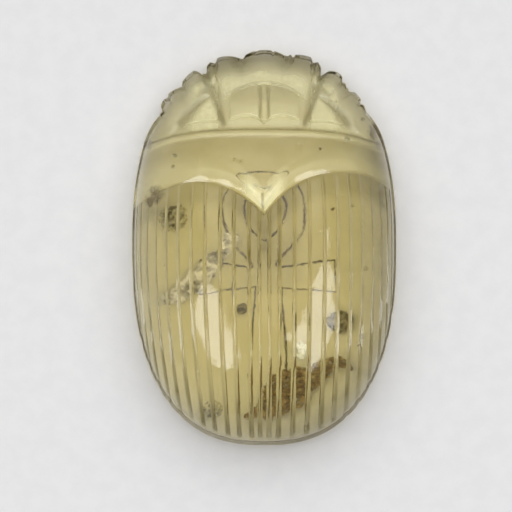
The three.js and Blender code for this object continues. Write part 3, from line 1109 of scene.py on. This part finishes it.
@dataclass(frozen=True)
class YellowGlass:
    """Clear pale yellow glass, worn, stained and given a frosting, darkened by painted shade and brightened
    by a painted highlight, each where its mesh says so.
    """

    index: float = 1.47
    absorbed: Colour = (0.73, 0.61, 0.0, 1.0)
    density: float = 60.0
    tint: Colour = (1.0, 1.0, 1.0, 1.0)
    # Dark olive of the painted shade, which tints the glass where it looks dark.
    painted_shade: Colour = (0.13, 0.11, 0.02, 1.0)
    # Pale colour of the matt frosting, which also serves as the painted highlight.
    frost_and_highlight: Colour = (0.86, 0.82, 0.49, 1.0)
    stain: Colour = (0.12, 0.09, 0.055, 1.0)
    stained: Span = (0.2, 0.65)
    shine: float = 0.36
    polish: float = 0.035
    scuffed_polish: float = 0.06
    rubbed_polish: float = 0.03
    worn_polish: float = 0.2
    matt: float = 0.45
    relief: float = 0.00006
    relief_strength: float = 0.5
    wear: Pattern = Pattern(420, 4, contrast=(0.5, 0.78))
    scuffs: Pattern = Pattern(2600, 5, 0.7, (0.56, 0.8))
    coarse: Pattern = Pattern(900, 4)
    fine: Pattern = Pattern(4200, 3)

    def material(self) -> bpy.types.Material:
        """Mix the finish."""
        paint = Paint("yellow_glass")
        wear, scuffs = paint.patches(self.wear), paint.patches(self.scuffs)
        worn, painted_shade, frost_and_highlight, stain = (paint.kept(name) for name in ("worn", "painted_shade", "frost_and_highlight", "stain"))
        stained = (stain * (0.5 + scuffs + 0.8 * wear)).stretched(*self.stained)
        # Painted shade: the glass's tint turns dark olive where the mesh asks for shade.
        painted_shade_tint = paint.mix(painted_shade * (0.8 + 0.2 * wear), self.tint, self.painted_shade)
        rough = self.polish + self.scuffed_polish * (wear * scuffs) + self.rubbed_polish * wear
        grain = paint.noise(self.coarse) * 0.6 + paint.noise(self.fine) * 0.12
        clear = paint.principled(
            Base_Color=paint.mix(stained, painted_shade_tint, self.stain),
            Roughness=rough + self.worn_polish * worn,
            IOR=self.index,
            Specular_IOR_Level=self.shine,
            Transmission_Weight=1.0,
            Normal=paint.bump(grain, self.relief, self.relief_strength),
        )
        # Pale matt part of the frosting and the painted highlight, which the painted shade darkens too.
        matt = paint.principled(Base_Color=paint.mix(painted_shade, self.frost_and_highlight, self.painted_shade), Roughness=self.matt)
        # Share of the matt part, for frosting and painted highlight.
        frost_and_highlight_share = {0: frost_and_highlight * (0.8 + 0.4 * wear), 1: clear, 2: matt}
        surface = paint.node("ShaderNodeMixShader", {}, frost_and_highlight_share)
        inputs = {"Color": self.absorbed, "Density": self.density}
        return paint.finished(surface, paint.node("ShaderNodeVolumeAbsorption", {}, inputs))


@dataclass(frozen=True)
class Crust:
    """Crumbly matter of two colours with holes in it, in the cuts or sealed in the glass.

    Attributes:
        name: Name of the material.
        first: Colour where the pattern is low.
        second: Colour where the pattern is high.
        pattern: How the two colours lie.
        kept: Where the matter is kept, and not a hole.
        rough: Roughness, and how much the grains add to it.
        relief: Height of the grains, in metres.
        grains: Noise of the grains, where it isn't the pattern's own.
        rough_by_colour: Whether the roughness follows the colours and not the grains.
        painted_glow: Painted glow, an emission in the matter's own colours that makes it look lit from
            within, standing in for light that fine bubbles would scatter.
    """

    name: str
    first: Colour
    second: Colour
    pattern: Pattern
    kept: Pattern
    rough: Span
    relief: float
    grains: Pattern | None = None
    rough_by_colour: bool = False
    painted_glow: float = 0.0

    def material(self) -> bpy.types.Material:
        """Mix the finish."""
        paint = Paint(self.name)
        noise = paint.noise(self.pattern)
        colours = noise.stretched(*self.pattern.contrast)
        grains = paint.noise(self.grains) if self.grains else noise
        colour = paint.mix(colours, self.first, self.second)
        least, more = self.rough
        # Painted glow: emission that makes the bubbles and spherules look lit from within.
        glow = {"Emission_Color": colour, "Emission_Strength": self.painted_glow} if self.painted_glow else {}
        surface = paint.principled(
            Base_Color=colour,
            Roughness=least + more * (colours if self.rough_by_colour else grains),
            Alpha=paint.patches(self.kept),
            Normal=paint.bump(grains, self.relief),
            **glow,
        )
        return paint.finished(surface)


SOIL = Crust(
    "soil",
    first=(0.13, 0.1, 0.065, 1.0),
    second=(0.4, 0.33, 0.22, 1.0),
    pattern=Pattern(3000, 4, contrast=(0.35, 0.65)),
    kept=Pattern(650, 3, 0.6, (0.4, 0.66)),
    rough=(0.85, 0.1),
    relief=0.0001,
)
SPECKLED = Crust(
    "spherule_grey",
    first=(0.8, 0.77, 0.62, 1.0),
    second=(0.09, 0.08, 0.06, 1.0),
    pattern=Pattern(2600, 3, 0.65, (0.42, 0.6)),
    kept=Pattern(1500, 4, 0.7, (0.42, 0.6)),
    rough=(0.5, 0.35),
    relief=0.00015,
    grains=Pattern(5200, 2),
    # Faint painted glow.
    painted_glow=0.08,
)
PLAIN = replace(
    SPECKLED,
    name="spherule_plain",
    first=(0.46, 0.43, 0.34, 1.0),
    second=(0.17, 0.16, 0.12, 1.0),
    kept=Pattern(1500, 4, 0.7, (0.24, 0.44)),
    painted_glow=0.0,
)
BRIGHT = replace(
    SPECKLED,
    name="spherule_white",
    first=(0.9, 0.94, 0.99, 1.0),
    second=(0.45, 0.46, 0.45, 1.0),
    kept=Pattern(1500, 4, 0.7, (0.3, 0.5)),
    # Painted glow of the white spherule.
    painted_glow=0.5,
)
BUBBLES = Crust(
    "plume",
    first=(0.2, 0.19, 0.17, 1.0),
    second=(0.93, 0.92, 0.95, 1.0),
    pattern=Pattern(1000, 5, 0.62, (0.34, 0.62)),
    kept=Pattern(800, 4, 0.6, (0.05, 0.34)),
    rough=(0.45, 0.3),
    relief=0.0003,
    rough_by_colour=True,
    # Painted glow of the plume.
    painted_glow=0.32,
)
RUST = Crust(
    "brown_swirl",
    first=(0.75, 0.6, 0.37, 1.0),
    second=(0.3, 0.2, 0.11, 1.0),
    pattern=Pattern(1500, 6, 0.72, (0.38, 0.6)),
    kept=Pattern(1900, 6, 0.75, (0.34, 0.62)),
    rough=(0.7, 0.2),
    relief=0.0003,
)


# ---------------------------------------------------------------- pieces


class Stretch(Enum):
    """Part of the body that a row of its grid lies in."""

    WING = "wing"
    ROLL = "roll"
    THORAX = "thorax"
    LIP = "lip"
    HEAD = "head"


@dataclass
class ScarabBody:
    """The carved glass, in one closed piece, with its grid's rows counted for each stretch.

    Attributes:
        rim_rows: Rows that crowd together by the rim, in the wing cases and the head each.
        pitted: Places across and along of small pits, and how many lie there.
    """

    wings: WingCases = field(default_factory=WingCases)
    outline: HeadOutline = field(default_factory=HeadOutline)
    head: HeadCarving = field(default_factory=HeadCarving)
    wear_and_painted_light: WearAndPaintedLight = field(default_factory=WearAndPaintedLight)
    glass: YellowGlass = field(default_factory=YellowGlass)
    wing_rows: int = 72
    roll_rows: int = 18
    thorax_rows: int = 20
    lip_rows: int = 8
    head_rows: int = 84
    rim_rows: int = 14
    rim_share: float = 0.03
    tail_crowding: float = 2.2
    roll_crowding: float = 1.3
    head_start: float = 0.012
    head_rim: float = 0.045
    edge_step: float = 0.12
    ledge_drops: Span = (0.02, 0.13)
    ledge_reach: float = 0.996
    base_middle: float = 0.45
    underside_rings: tuple[float, ...] = (0.75, 0.67, 0.5, 0.3)
    ripple: Ripple = Ripple(Seed.THORAX, 3.5)
    pit_spread: Span = (0.3, 0.2)
    pit_sizes: Span = (0.3, 0.6)
    pit_depth: float = 0.3
    pit_length: float = 0.1
    top_from: float = 0.2
    top_facing: Fade = Fade(-0.2, 0.1)
    crease_angle: float = 38
    pitted: tuple[tuple[float, float, int], ...] = (
        (-9.4, 9.7, 6),
        (-9.5, 8.5, 4),
        (-3.1, 9.3, 2),
        (3.4, 10.6, 2),
        (5.9, 10.4, 3),
        (8.6, 11.5, 3),
    )

    def _rows(self) -> list[tuple[Stretch, float]]:
        """Rows from the tail to the front, each with its stretch and how far along it lies."""
        tail = np.linspace(0, 1, self.rim_rows, endpoint=False) ** self.tail_crowding * self.rim_share
        front = 1 - np.linspace(1, 0, self.rim_rows + 1)[1:] ** 2.0 * self.head_rim
        places = {
            Stretch.WING: [*tail, *np.linspace(self.rim_share, 1, self.wing_rows)],
            Stretch.ROLL: np.linspace(0, 1, self.roll_rows) ** self.roll_crowding,
            Stretch.THORAX: np.linspace(0, 1, self.thorax_rows + 2)[1:-1],
            Stretch.LIP: np.linspace(0, 1, self.lip_rows),
            Stretch.HEAD: [*np.linspace(self.head_start, 1 - self.head_rim, self.head_rows), *front],
        }
        return [(stretch, v) for stretch, along in places.items() for v in along]

    def _meet(self, edge: Callable[[Array], Array], share: Array) -> tuple[Array, Array]:
        """Plan points at which columns cross an edge of the thorax."""
        y = edge(np.zeros(share.shape))
        for _ in range(ROUNDS):
            y = edge(share * DOME.foot_half_width(y))
        return share * DOME.foot_half_width(y), y

    def _front_end(self, share: Array) -> tuple[Array, Array]:
        """Plan points at which columns run out over the foot in front of the head."""
        corner_x, _ = self._meet(THORAX.front_edge, np.ones(1))
        squareness = DOME.outline_power / 2
        foot_x, foot_y = DOME.width / 2 * DOME.ledge, DOME.length / 2 * DOME.ledge
        corner = math.acos(float(corner_x[0] / foot_x) ** squareness)
        angle = lerp(math.pi / 2, corner, np.abs(share))
        across = np.clip(np.cos(angle), 0, 1) ** (1 / squareness)
        return np.sign(share) * foot_x * across, foot_y * np.sin(angle) ** (1 / squareness)

    def _surface(self) -> Array:
        """Points of the whole carved top, by row and column, in millimetres."""
        pitch, beside, cut, line = self.wings.columns()
        table = self.wings.travelled()
        steps = np.linspace(0, 1, len(table))
        crowd = 1 - np.linspace(0, 1, self.wings.rim_columns + 1)[1:]
        towards = crowd**DOME.outline_power
        even_rim = 1 - self.rim_share * crowd**2
        even_inner = np.linspace(self.rim_share - 1, 1 - self.rim_share, len(pitch))
        even = np.concatenate([-even_rim[::-1], even_inner, even_rim])
        rim = np.zeros(self.wings.rim_columns)
        cut, line = (np.concatenate([rim, part, rim]) for part in (cut, np.maximum(line, 0)))
        draw = np.random.default_rng(Seed.LINE_DEPTHS)
        strength = draw.uniform(*self.wings.strengths, int(line.max()) + 1)[line.astype(int)]
        layers = []
        for stretch, v in self._rows():
            wing = stretch is Stretch.WING
            by_rim = (1 - v) ** 2 if wing else 0.0
            width = lerp(self.wings.width_front, self.wings.width_rim, by_rim)
            pitches = np.abs(pitch) + beside * width / 2 / self.wings.pitch
            middle = np.sign(pitch) * np.interp(pitches, table, steps)
            left, right = (1 - (1 - end) * towards for end in np.abs(middle[[0, -1]]))
            ribbed = np.concatenate([-left[::-1], middle, right])
            ahead = {Stretch.WING: 0.0, Stretch.ROLL: 0.0, Stretch.THORAX: float(ease(v, 0, 1))}
            share = lerp(ribbed, even, ahead.get(stretch, 1.0))
            x, y, level = self._row(stretch, v, share)
            points = np.stack([x, y, DOME.height(x, y, level)], -1)
            if stretch is Stretch.HEAD:
                points -= DOME.normal(x, y) * self.head.depth(x, y)[:, None]
                points[:, 2] += self.outline.swell(x, y)
            if wing:
                sunk = self.wings.sunk(x, y, share, cut, strength, by_rim)
                points -= DOME.normal(x, y) * sunk[:, None]
            layers.append(points)
        return np.stack(layers)

    def _row(self, stretch: Stretch, v: float, share: Array) -> tuple[Array, Array, Array]:
        """Plan points and levels of one row.

        Args:
            stretch: Which stretch of the body the row lies in.
            v: How far along the stretch it lies.
            share: Where its columns are, as shares of the foot's half width.

        Returns:
            Places across, places along and levels.
        """
        _, rear = self._meet(THORAX.rear_edge, share)
        front_x, front = self._meet(THORAX.front_edge, share)
        if stretch is Stretch.WING:
            y = lerp(self.wings.tail_end(share), rear - self.edge_step, v)
            x = self.wings.plan_x(share, y)
            return x, y, self.wings.ground(x, y) * UNEVEN
        if stretch is Stretch.HEAD:
            end_x, end_y = self._front_end(share)
            x, y = lerp(front_x, end_x, v), lerp(front, end_y, v)
            drawn = self.outline.drawn_in(x, y)
            return x * drawn, y * drawn, self.head.level(x, y)
        if stretch is Stretch.ROLL:
            y = rear + THORAX.roll_length * v
            level = np.full(share.shape, THORAX.roll_level(np.array(v)))
        elif stretch is Stretch.THORAX:
            y = lerp(rear + THORAX.roll_length, front - THORAX.lip_length, v)
            level = np.full(share.shape, THORAX.level)
        else:
            y = front - THORAX.lip_length * (1 - v)
            level = np.full(share.shape, lerp(THORAX.level, THORAX.lip_level, THORAX.lip_rise(v)))
        x = share * DOME.foot_half_width(y)
        return x, y, level + self._thorax_marks(x, y)

    def _thorax_marks(self, x: Array, y: Array) -> Array:
        """Unevenness of the thorax, and small pits in it.

        Args:
            x: Places across, in millimetres.
            y: Places along, in millimetres.

        Returns:
            Levels to add, in millimetres.
        """
        pits = np.zeros(np.broadcast(x, y).shape)
        draw = np.random.default_rng(Seed.PITS)
        across, along = self.pit_spread
        for middle_x, middle_y, count in self.pitted:
            for _ in range(count):
                start = (middle_x + draw.normal(0, across), middle_y + draw.normal(0, along))
                size = draw.uniform(*self.pit_sizes)
                end = (start[0] + self.pit_length, start[1])
                pit = Cut(start, end, (size, size), (self.pit_depth, self.pit_depth))
                pits = np.maximum(pits, pit(x, y))
        return self.ripple(x, y) * UNEVEN - pits

    def build(self, cutters: bpy.types.Object) -> bpy.types.Object:
        """Build and dress the body.

        Args:
            cutters: Bars that cut the sign into the underside, which are used up.

        Returns:
            The finished body.
        """
        points = self._surface()
        rows, columns = points.shape[:2]
        body = bent_grid("scarab_glass", columns, rows, lambda i, j: points[j, i])
        self._add_base(body)
        applied(body, "BOOLEAN", operation="DIFFERENCE", object=cutters, solver="MANIFOLD")
        bpy.data.objects.remove(cutters)
        smoothed(body, self.crease_angle)
        self._note_wear_and_painted_light(body)
        body.data.materials.clear()
        body.data.materials.append(self.glass.material())
        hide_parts("scarab")
        return body

    def _note_wear_and_painted_light(self, body: bpy.types.Object) -> None:
        """Keep on the mesh how worn its polish is, how much frosting and stain it has, and where painted
        shade and painted highlight lie.

        Args:
            body: The finished body.
        """
        points, normals = surface_of(body.data)
        x, y, z = points.T.astype(float)
        _, slope_y, up = normals.T
        top = ease(z, DOME.base_height - self.top_from, DOME.base_height) * self.top_facing(up)
        sunk = (DOME.height(x, y, 0) - z) * DOME.normal(x, y)[:, 2]
        # Painted shade and painted highlight are kept next to the wear and the stain.
        wear_stain_and_painted_light = {
            "worn": self.wear_and_painted_light.worn(x, y),
            "painted_shade": self.wear_and_painted_light.painted_shade(x, y, sunk),
            "frost_and_highlight": self.wear_and_painted_light.frost_and_highlight(x, y, -slope_y),
            "stain": self.wear_and_painted_light.stain(x, y),
        }
        for name, shares in wear_stain_and_painted_light.items():
            kept = body.data.attributes.new(name, "FLOAT", "POINT")
            kept.data.foreach_set("value", (shares * top).astype(np.float32))

    def _add_base(self, body: bpy.types.Object) -> None:
        """Extrude the low base down from the dome's foot and close it underneath.

        Args:
            body: Body whose open edge is the dome's foot.
        """
        only(body)
        bpy.ops.object.mode_set(mode="EDIT")
        bpy.ops.mesh.select_mode(type="EDGE")
        bpy.ops.mesh.select_all(action="DESELECT")
        bpy.ops.mesh.select_non_manifold()
        top, bevel, half = DOME.base_height, DOME.base_bevel, DOME.width / 2
        ledge_drop, edge_drop = self.ledge_drops
        steps = [
            (top - ledge_drop, self.ledge_reach / DOME.ledge),
            (top - edge_drop, 1 / DOME.ledge),
            (top * self.base_middle, 1 / DOME.ledge),
            (bevel, 1 / DOME.ledge),
            (0.0, (1 - bevel / half) / DOME.ledge),
        ]
        height, scale = top, 1.0
        for next_height, next_scale in steps:
            drop = (0, 0, (next_height - height) * MM)
            bpy.ops.mesh.extrude_region_move(TRANSFORM_OT_translate={"value": drop})
            grow = next_scale / scale
            bpy.ops.transform.resize(value=(grow, grow, 1), center_override=(0, 0, 0))
            if next_height < top / 2:
                bpy.ops.transform.resize(value=(1, 1, 0), center_override=(0, 0, next_height * MM))
            height, scale = next_height, next_scale
        for shrink in self.underside_rings:
            bpy.ops.mesh.extrude_region_move(TRANSFORM_OT_translate={"value": (0, 0, 0)})
            bpy.ops.transform.resize(value=(shrink, shrink, 1), center_override=(0, 0, 0))
        bpy.ops.mesh.edge_face_add()
        bpy.ops.mesh.select_all(action="SELECT")
        bpy.ops.mesh.normals_make_consistent(inside=False)
        bpy.ops.object.mode_set(mode="OBJECT")


@dataclass
class Sign:
    """Outlined looped cross that is cut into the flat underside."""

    line_radius: float = 0.1
    centre: float = 0.3
    loop_top: float = 6.1
    loop_half: float = 3.5
    throat_half: float = 1.5
    bar_top: float = -2.0
    bar_bottom: float = -3.75
    bar_half: float = 5.3
    bar_flare: float = 0.7
    bar_lean: float = 0.25
    shaft_half: float = 1.2
    foot_half: float = 1.7
    foot: float = -12.3
    eye_top: float = 4.5
    eye_half: float = 1.8
    eye_bottom: float = 0.7
    eye_foot: float = 0.05
    drop_points: int = 44
    drop_closing: float = 0.99
    soil_share: float = 0.9
    soil_height: float = 0.03
    soil_clearance: float = 0.004
    soil: Crust = SOIL

    def _drop(self, top: float, bottom: float, half: float, foot_half: float) -> Array:
        """Plan line of a drop from its foot, over its round top and back down."""
        widest = 0.77
        reach = self.drop_closing * math.pi
        angle = np.linspace(-reach, reach, self.drop_points)
        belly = half * np.sin(angle) * np.cos(angle / 2) / widest
        x = belly + np.sign(angle) * foot_half * (np.abs(angle) / math.pi) ** 4
        y = (top + bottom) / 2 + (top - bottom) / 2 * np.cos(angle)
        return np.stack([x, y], -1)

    def _lines(self) -> list[Array]:
        """Plan lines of the whole sign, whose shaft is open at its foot."""
        lines = [
            self._drop(self.loop_top, self.bar_top, self.loop_half, self.throat_half),
            self._drop(self.eye_top, self.eye_bottom, self.eye_half, self.eye_foot),
        ]
        for side in (-1, 1):
            reach = [self.bar_half, self.bar_half + self.bar_lean, self.shaft_half, self.foot_half]
            level = [
                self.bar_top + self.bar_flare,
                self.bar_bottom - self.bar_flare,
                self.bar_bottom,
                self.foot,
            ]
            corners = [(self.centre + side * r, y) for r, y in zip(reach, level)]
            lines.append(np.array([(side * self.throat_half, self.bar_top), *corners]))
        return lines

    def bars(self, name: str, radius: float, height: float) -> bpy.types.Object:
        """Four-sided bars along the sign's lines.

        Args:
            name: Name of the piece.
            radius: Half the width of the bars.
            height: Height of their middle over the underside.

        Returns:
            All the bars, as one piece.
        """
        parts = []
        for index, line in enumerate(self._lines()):
            points = np.column_stack([line, np.full(len(line), height)])
            parts.append(strand(f"{name}_{index}", points, np.full(len(line), radius), 4))
        return joined(name, parts)

    def build(self) -> bpy.types.Object:
        """Fill the cuts with soil."""
        fill = self.bars("sign_soil", self.line_radius * self.soil_share, self.soil_height)
        least = self.soil_clearance
        moved(fill, lambda points, _: np.column_stack([points[:, :2], np.maximum(points[:, 2], least)]))
        fill.data.materials.append(self.soil.material())
        return fill


@dataclass
class Inclusions:
    """What is sealed in the glass: spherules, a plume of bubbles and a brown swirl.

    Attributes:
        balls: Name, place, radius, flatness and finish of each spherule.
        plume_way: Start, bend and end of the plume.
        streaks: Start, bend, end and radius of each brown streak.
    """

    floor: float = 0.9
    lumps: float = 0.08
    lump_length: float = 0.7
    balls: tuple[tuple[str, Plan, float, float, Crust], ...] = (
        ("spherule_left", (-7.2, 2.75), 1.0, 0.35, SPECKLED),
        ("spherule_right", (6.1, -7.2), 0.9, 0.35, PLAIN),
        ("spherule_tail", (-4.35, -15.0), 0.72, 0.35, SPECKLED),
        ("spherule_middle", (-2.0, -5.9), 0.5, 0.6, PLAIN),
        ("spherule_bright", (3.2, -9.8), 0.75, 0.6, BRIGHT),
    )
    plume_way: tuple[Plan, Plan, Plan] = ((-7.5, -5.2), (-4.9, -3.1), (-2.9, 0.9))
    puffs: int = 16
    puff_scatter: float = 0.12
    puff_sizes: Span = (0.5, 0.8)
    puff_flatness: float = 0.55
    fleece: Ripple = Ripple(Seed.FLEECE, 0.5, 14)
    streaks: tuple[tuple[Plan, Plan, Plan, float], ...] = (
        ((-1.8, -15.7), (1.4, -13.9), (6.4, -11.0), 0.42),
        ((-1.3, -15.5), (1.2, -15.7), (3.8, -14.0), 0.44),
        ((-1.2, -15.0), (1.8, -15.1), (5.2, -12.0), 0.42),
        ((-0.3, -14.2), (2.2, -13.4), (5.6, -11.4), 0.46),
        ((0.0, -13.3), (1.8, -12.4), (4.4, -12.6), 0.44),
        ((0.6, -12.4), (2.2, -11.8), (4.8, -11.6), 0.32),
        ((3.4, -12.2), (5.4, -10.0), (6.9, -11.4), 0.4),
    )
    streak_points: int = 26
    streak_sides: int = 12
    streak_scatter: float = 0.09
    streak_sizes: Span = (0.7, 1.3)
    streak_ends: Span = (0.03, 0.97)
    streak_taper: float = 0.3
    streak_waves: float = 9.0
    streak_lift: float = 0.25
    ruffles: Ripple = Ripple(Seed.STREAKS, 0.6, 14)

    def _blob(self, name: str, place: Plan, radius: float, flat: float, seed: int) -> bpy.types.Object:
        """Bumpy flattened ball.

        Args:
            name: Name of the ball.
            place: Where it lies in plan, in millimetres.
            radius: Its radius across, in millimetres.
            flat: Its height as a share of its width.
            seed: Seed of its bumps.

        Returns:
            The ball.
        """
        deselect()
        bpy.ops.mesh.primitive_ico_sphere_add(subdivisions=5, radius=1 * MM)
        ball = bpy.context.object
        ball.name = name
        bumps = Ripple(seed, self.lump_length)

        def shape(points: Array, normals: Array) -> Array:
            """Swell each point outwards by the bumps."""
            across, along, up = points.T
            swell = 1 + self.lumps * bumps(across * 2 + up, along * 2 - up)
            return points * swell[:, None] * np.array([radius, radius, radius * flat]) + middle

        middle = np.array([*place, self.floor])
        return smoothed(moved(ball, shape))

    def _fused(
        self,
        name: str,
        parts: list[bpy.types.Object],
        voxel: float,
        bumps: Ripple,
        slope: float,
        push: float,
    ) -> bpy.types.Object:
        """Fuse pieces into one and ruffle its surface.

        Args:
            name: Name of the fused piece.
            parts: Pieces to fuse, which are used up.
            voxel: Size of the voxels, in millimetres.
            bumps: Unevenness that ruffles it.
            slope: How much the ruffles shift with height.
            push: Height of the ruffles, in millimetres.

        Returns:
            The fused piece.
        """
        fused = joined(name, parts)
        applied(fused, "REMESH", mode="VOXEL", voxel_size=voxel * MM)

        def ruffle(points: Array, normals: Array) -> Array:
            """Push the surface in and out."""
            shift = points[:, 2] * slope
            wave = bumps(points[:, 0] + shift, points[:, 1] - shift)
            return points + normals * (wave * push)[:, None]

        return smoothed(moved(fused, ruffle))

    def spherules(self) -> list[bpy.types.Object]:
        """Round inclusions of several sizes, whose finishes are mixed once each."""
        crusts = {crust.name: crust.material() for crust in (SPECKLED, PLAIN, BRIGHT)}
        made = []
        for index, (name, place, radius, flat, crust) in enumerate(self.balls):
            ball = self._blob(name, place, radius, flat, Seed.SPHERULE + index)
            ball.data.materials.append(crusts[crust.name])
            made.append(ball)
        return made

    def plume(self) -> bpy.types.Object:
        """Fleecy chain of bubbles."""
        draw = np.random.default_rng(Seed.PLUME)
        parts = []
        for index in range(self.puffs):
            middle = bent_way(*self.plume_way, index / (self.puffs - 1))
            place = middle + draw.normal(0, self.puff_scatter, 2)
            size = draw.uniform(*self.puff_sizes)
            parts.append(self._blob(f"puff_{index}", place, size, self.puff_flatness, Seed.PUFF + index))
        fleece = self._fused("plume", parts, 0.06, self.fleece, 0.7, 0.09)
        fleece.data.materials.append(BUBBLES.material())
        return fleece

    def swirl(self) -> bpy.types.Object:
        """Brown streaks that lie low in the tail."""
        draw = np.random.default_rng(Seed.SWIRL)
        t = np.linspace(0, 1, self.streak_points)
        parts = []
        for index, (start, bend, end, radius) in enumerate(self.streaks):
            line = bent_way(start, bend, end, t[:, None])
            line = line + draw.normal(0, self.streak_scatter, line.shape)
            height = self.floor + self.streak_lift * np.sin(t * self.streak_waves + index)
            radii = radius * np.sin(np.pi * np.clip(t, *self.streak_ends)) ** self.streak_taper
            radii = radii * draw.uniform(*self.streak_sizes, self.streak_points)
            points = np.column_stack([line, height])
            parts.append(strand(f"streak_{index}", points, radii, self.streak_sides))
        swirl = self._fused("brown_swirl", parts, 0.07, self.ruffles, 1.0, 0.1)
        swirl.data.materials.append(RUST.material())
        return swirl

    def build(self) -> list[bpy.types.Object]:
        """Build all that is sealed in."""
        return [*self.spherules(), self.plume(), self.swirl()]


# ---------------------------------------------------------------- studio


@dataclass(frozen=True)
class Softbox:
    """A rectangular lamp that hangs face down, with its place and size in metres."""

    name: str
    place: tuple[float, float, float]
    size: Span
    turn: float


@dataclass
class Studio:
    """Pale floor, two softboxes, a window's light over an even fill, and a camera straight above."""

    width: float = 0.05443
    aim: Plan = (-0.00087, -0.00090)
    camera_height: float = 0.8
    focus_height: float = 0.0024
    fill: float = 0.2
    window: tuple[float, float, float] = (0.0, 0.34, 0.94)
    window_light: float = 1.9
    window_edge: tuple[float, float] = (0.62, 0.92)
    softbox: float = 6.8
    softboxes: tuple[Softbox, ...] = (
        Softbox("softbox_left", (-0.283, -0.265, 0.4), (0.38, 0.28), -48.7),
        Softbox("softbox_right", (0.36, -0.24, 0.4), (0.38, 0.38), 42.0),
    )
    floor_size: float = 2.4
    floor_cells: int = 40
    floor_gap: float = 0.00003
    floor_shine: float = 0.2
    floor_grey: Colour = (0.84, 0.84, 0.85, 1)
    floor_white: Colour = (0.87, 0.87, 0.875, 1)
    floor_tooth: Pattern = Pattern(500, 4, contrast=(0.3, 0.7))
    sensor: float = 36.0
    seen_from: float = 0.01
    seen_to: float = 10.0

    def floor(self) -> bpy.types.Object:
        """Lay the floor just under the base."""
        deselect()
        cells = self.floor_cells
        bpy.ops.mesh.primitive_grid_add(x_subdivisions=cells, y_subdivisions=cells, size=self.floor_size)
        floor = bpy.context.object
        floor.name = "floor"
        floor.location = (0, 0, -self.floor_gap)
        bpy.ops.object.transform_apply(location=True)
        paint = Paint("floor")
        tooth = paint.noise(self.floor_tooth)
        high = tooth.stretched(*self.floor_tooth.contrast)
        surface = paint.principled(
            Base_Color=paint.mix(high, self.floor_grey, self.floor_white),
            Roughness=0.7 + 0.1 * tooth,
            Specular_IOR_Level=self.floor_shine,
            Normal=paint.bump(tooth, 0.0001, 0.3),
        )
        floor.data.materials.append(paint.finished(surface))
        return floor

    def lights(self, pieces: list[bpy.types.Object]) -> None:
        """Hang the softboxes, which light the pieces alone, and set the light from all round.

        Args:
            pieces: What the softboxes shine on.
        """
        lit = bpy.data.collections.new("softbox_lit")
        for piece in pieces:
            lit.objects.link(piece)
        for box in self.softboxes:
            bpy.ops.object.light_add(type="AREA", location=box.place)
            lamp = bpy.context.object
            lamp.name = box.name
            lamp.data.shape = "RECTANGLE"
            lamp.data.size, lamp.data.size_y = box.size
            lamp.rotation_euler = (0, 0, math.radians(box.turn))
            lamp.data.energy = self.softbox * math.pi * box.size[0] * box.size[1]
            lamp.light_linking.receiver_collection = lit
            lamp.visible_transmission = False
        world = bpy.data.worlds.new("studio")
        world.use_nodes = True
        sky = Graph(world.node_tree)
        towards = sky.node("ShaderNodeTexCoord", {}, {}, "Generated")
        facing = {0: towards, 1: self.window}
        window = sky.node("ShaderNodeVectorMath", {"operation": "DOT_PRODUCT"}, facing, "Value")
        strength = self.fill + self.window_light * window.stretched(*self.window_edge)
        background = sky.node("ShaderNodeBackground", {}, {"Color": (1, 1, 1, 1), "Strength": strength})
        sky.node("ShaderNodeOutputWorld", {}, {"Surface": background}, None)
        bpy.context.scene.world = world

    def camera(self) -> None:
        """Hang the camera straight above."""
        bpy.ops.object.camera_add(location=(*self.aim, self.camera_height), rotation=(0, 0, 0))
        camera = bpy.context.object
        camera.data.sensor_width = self.sensor
        camera.data.lens = self.sensor * (self.camera_height - self.focus_height) / self.width
        camera.data.clip_start, camera.data.clip_end = self.seen_from, self.seen_to
        bpy.context.scene.camera = camera
        bpy.context.scene.view_settings.view_transform = "Standard"

    def build(self, pieces: list[bpy.types.Object]) -> None:
        """Set the whole studio.

        Args:
            pieces: What the softboxes shine on, which leave the floor to the light from above.
        """
        self.floor()
        self.lights(pieces)
        self.camera()


def main() -> None:
    """Build every piece and report it."""
    logging.basicConfig(level=logging.INFO, format="%(name)s: %(message)s")
    sign = Sign()
    body = ScarabBody().build(sign.bars("sign_cutter", sign.line_radius, 0.0))
    pieces = [body, sign.build(), *Inclusions().build()]
    for piece in pieces:
        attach(piece, "root")
        LOG.info("%s: %d vertices, %d faces", piece.name, len(piece.data.vertices), len(piece.data.polygons))
    Studio().build(pieces)


if __name__ == "__main__":
    main()
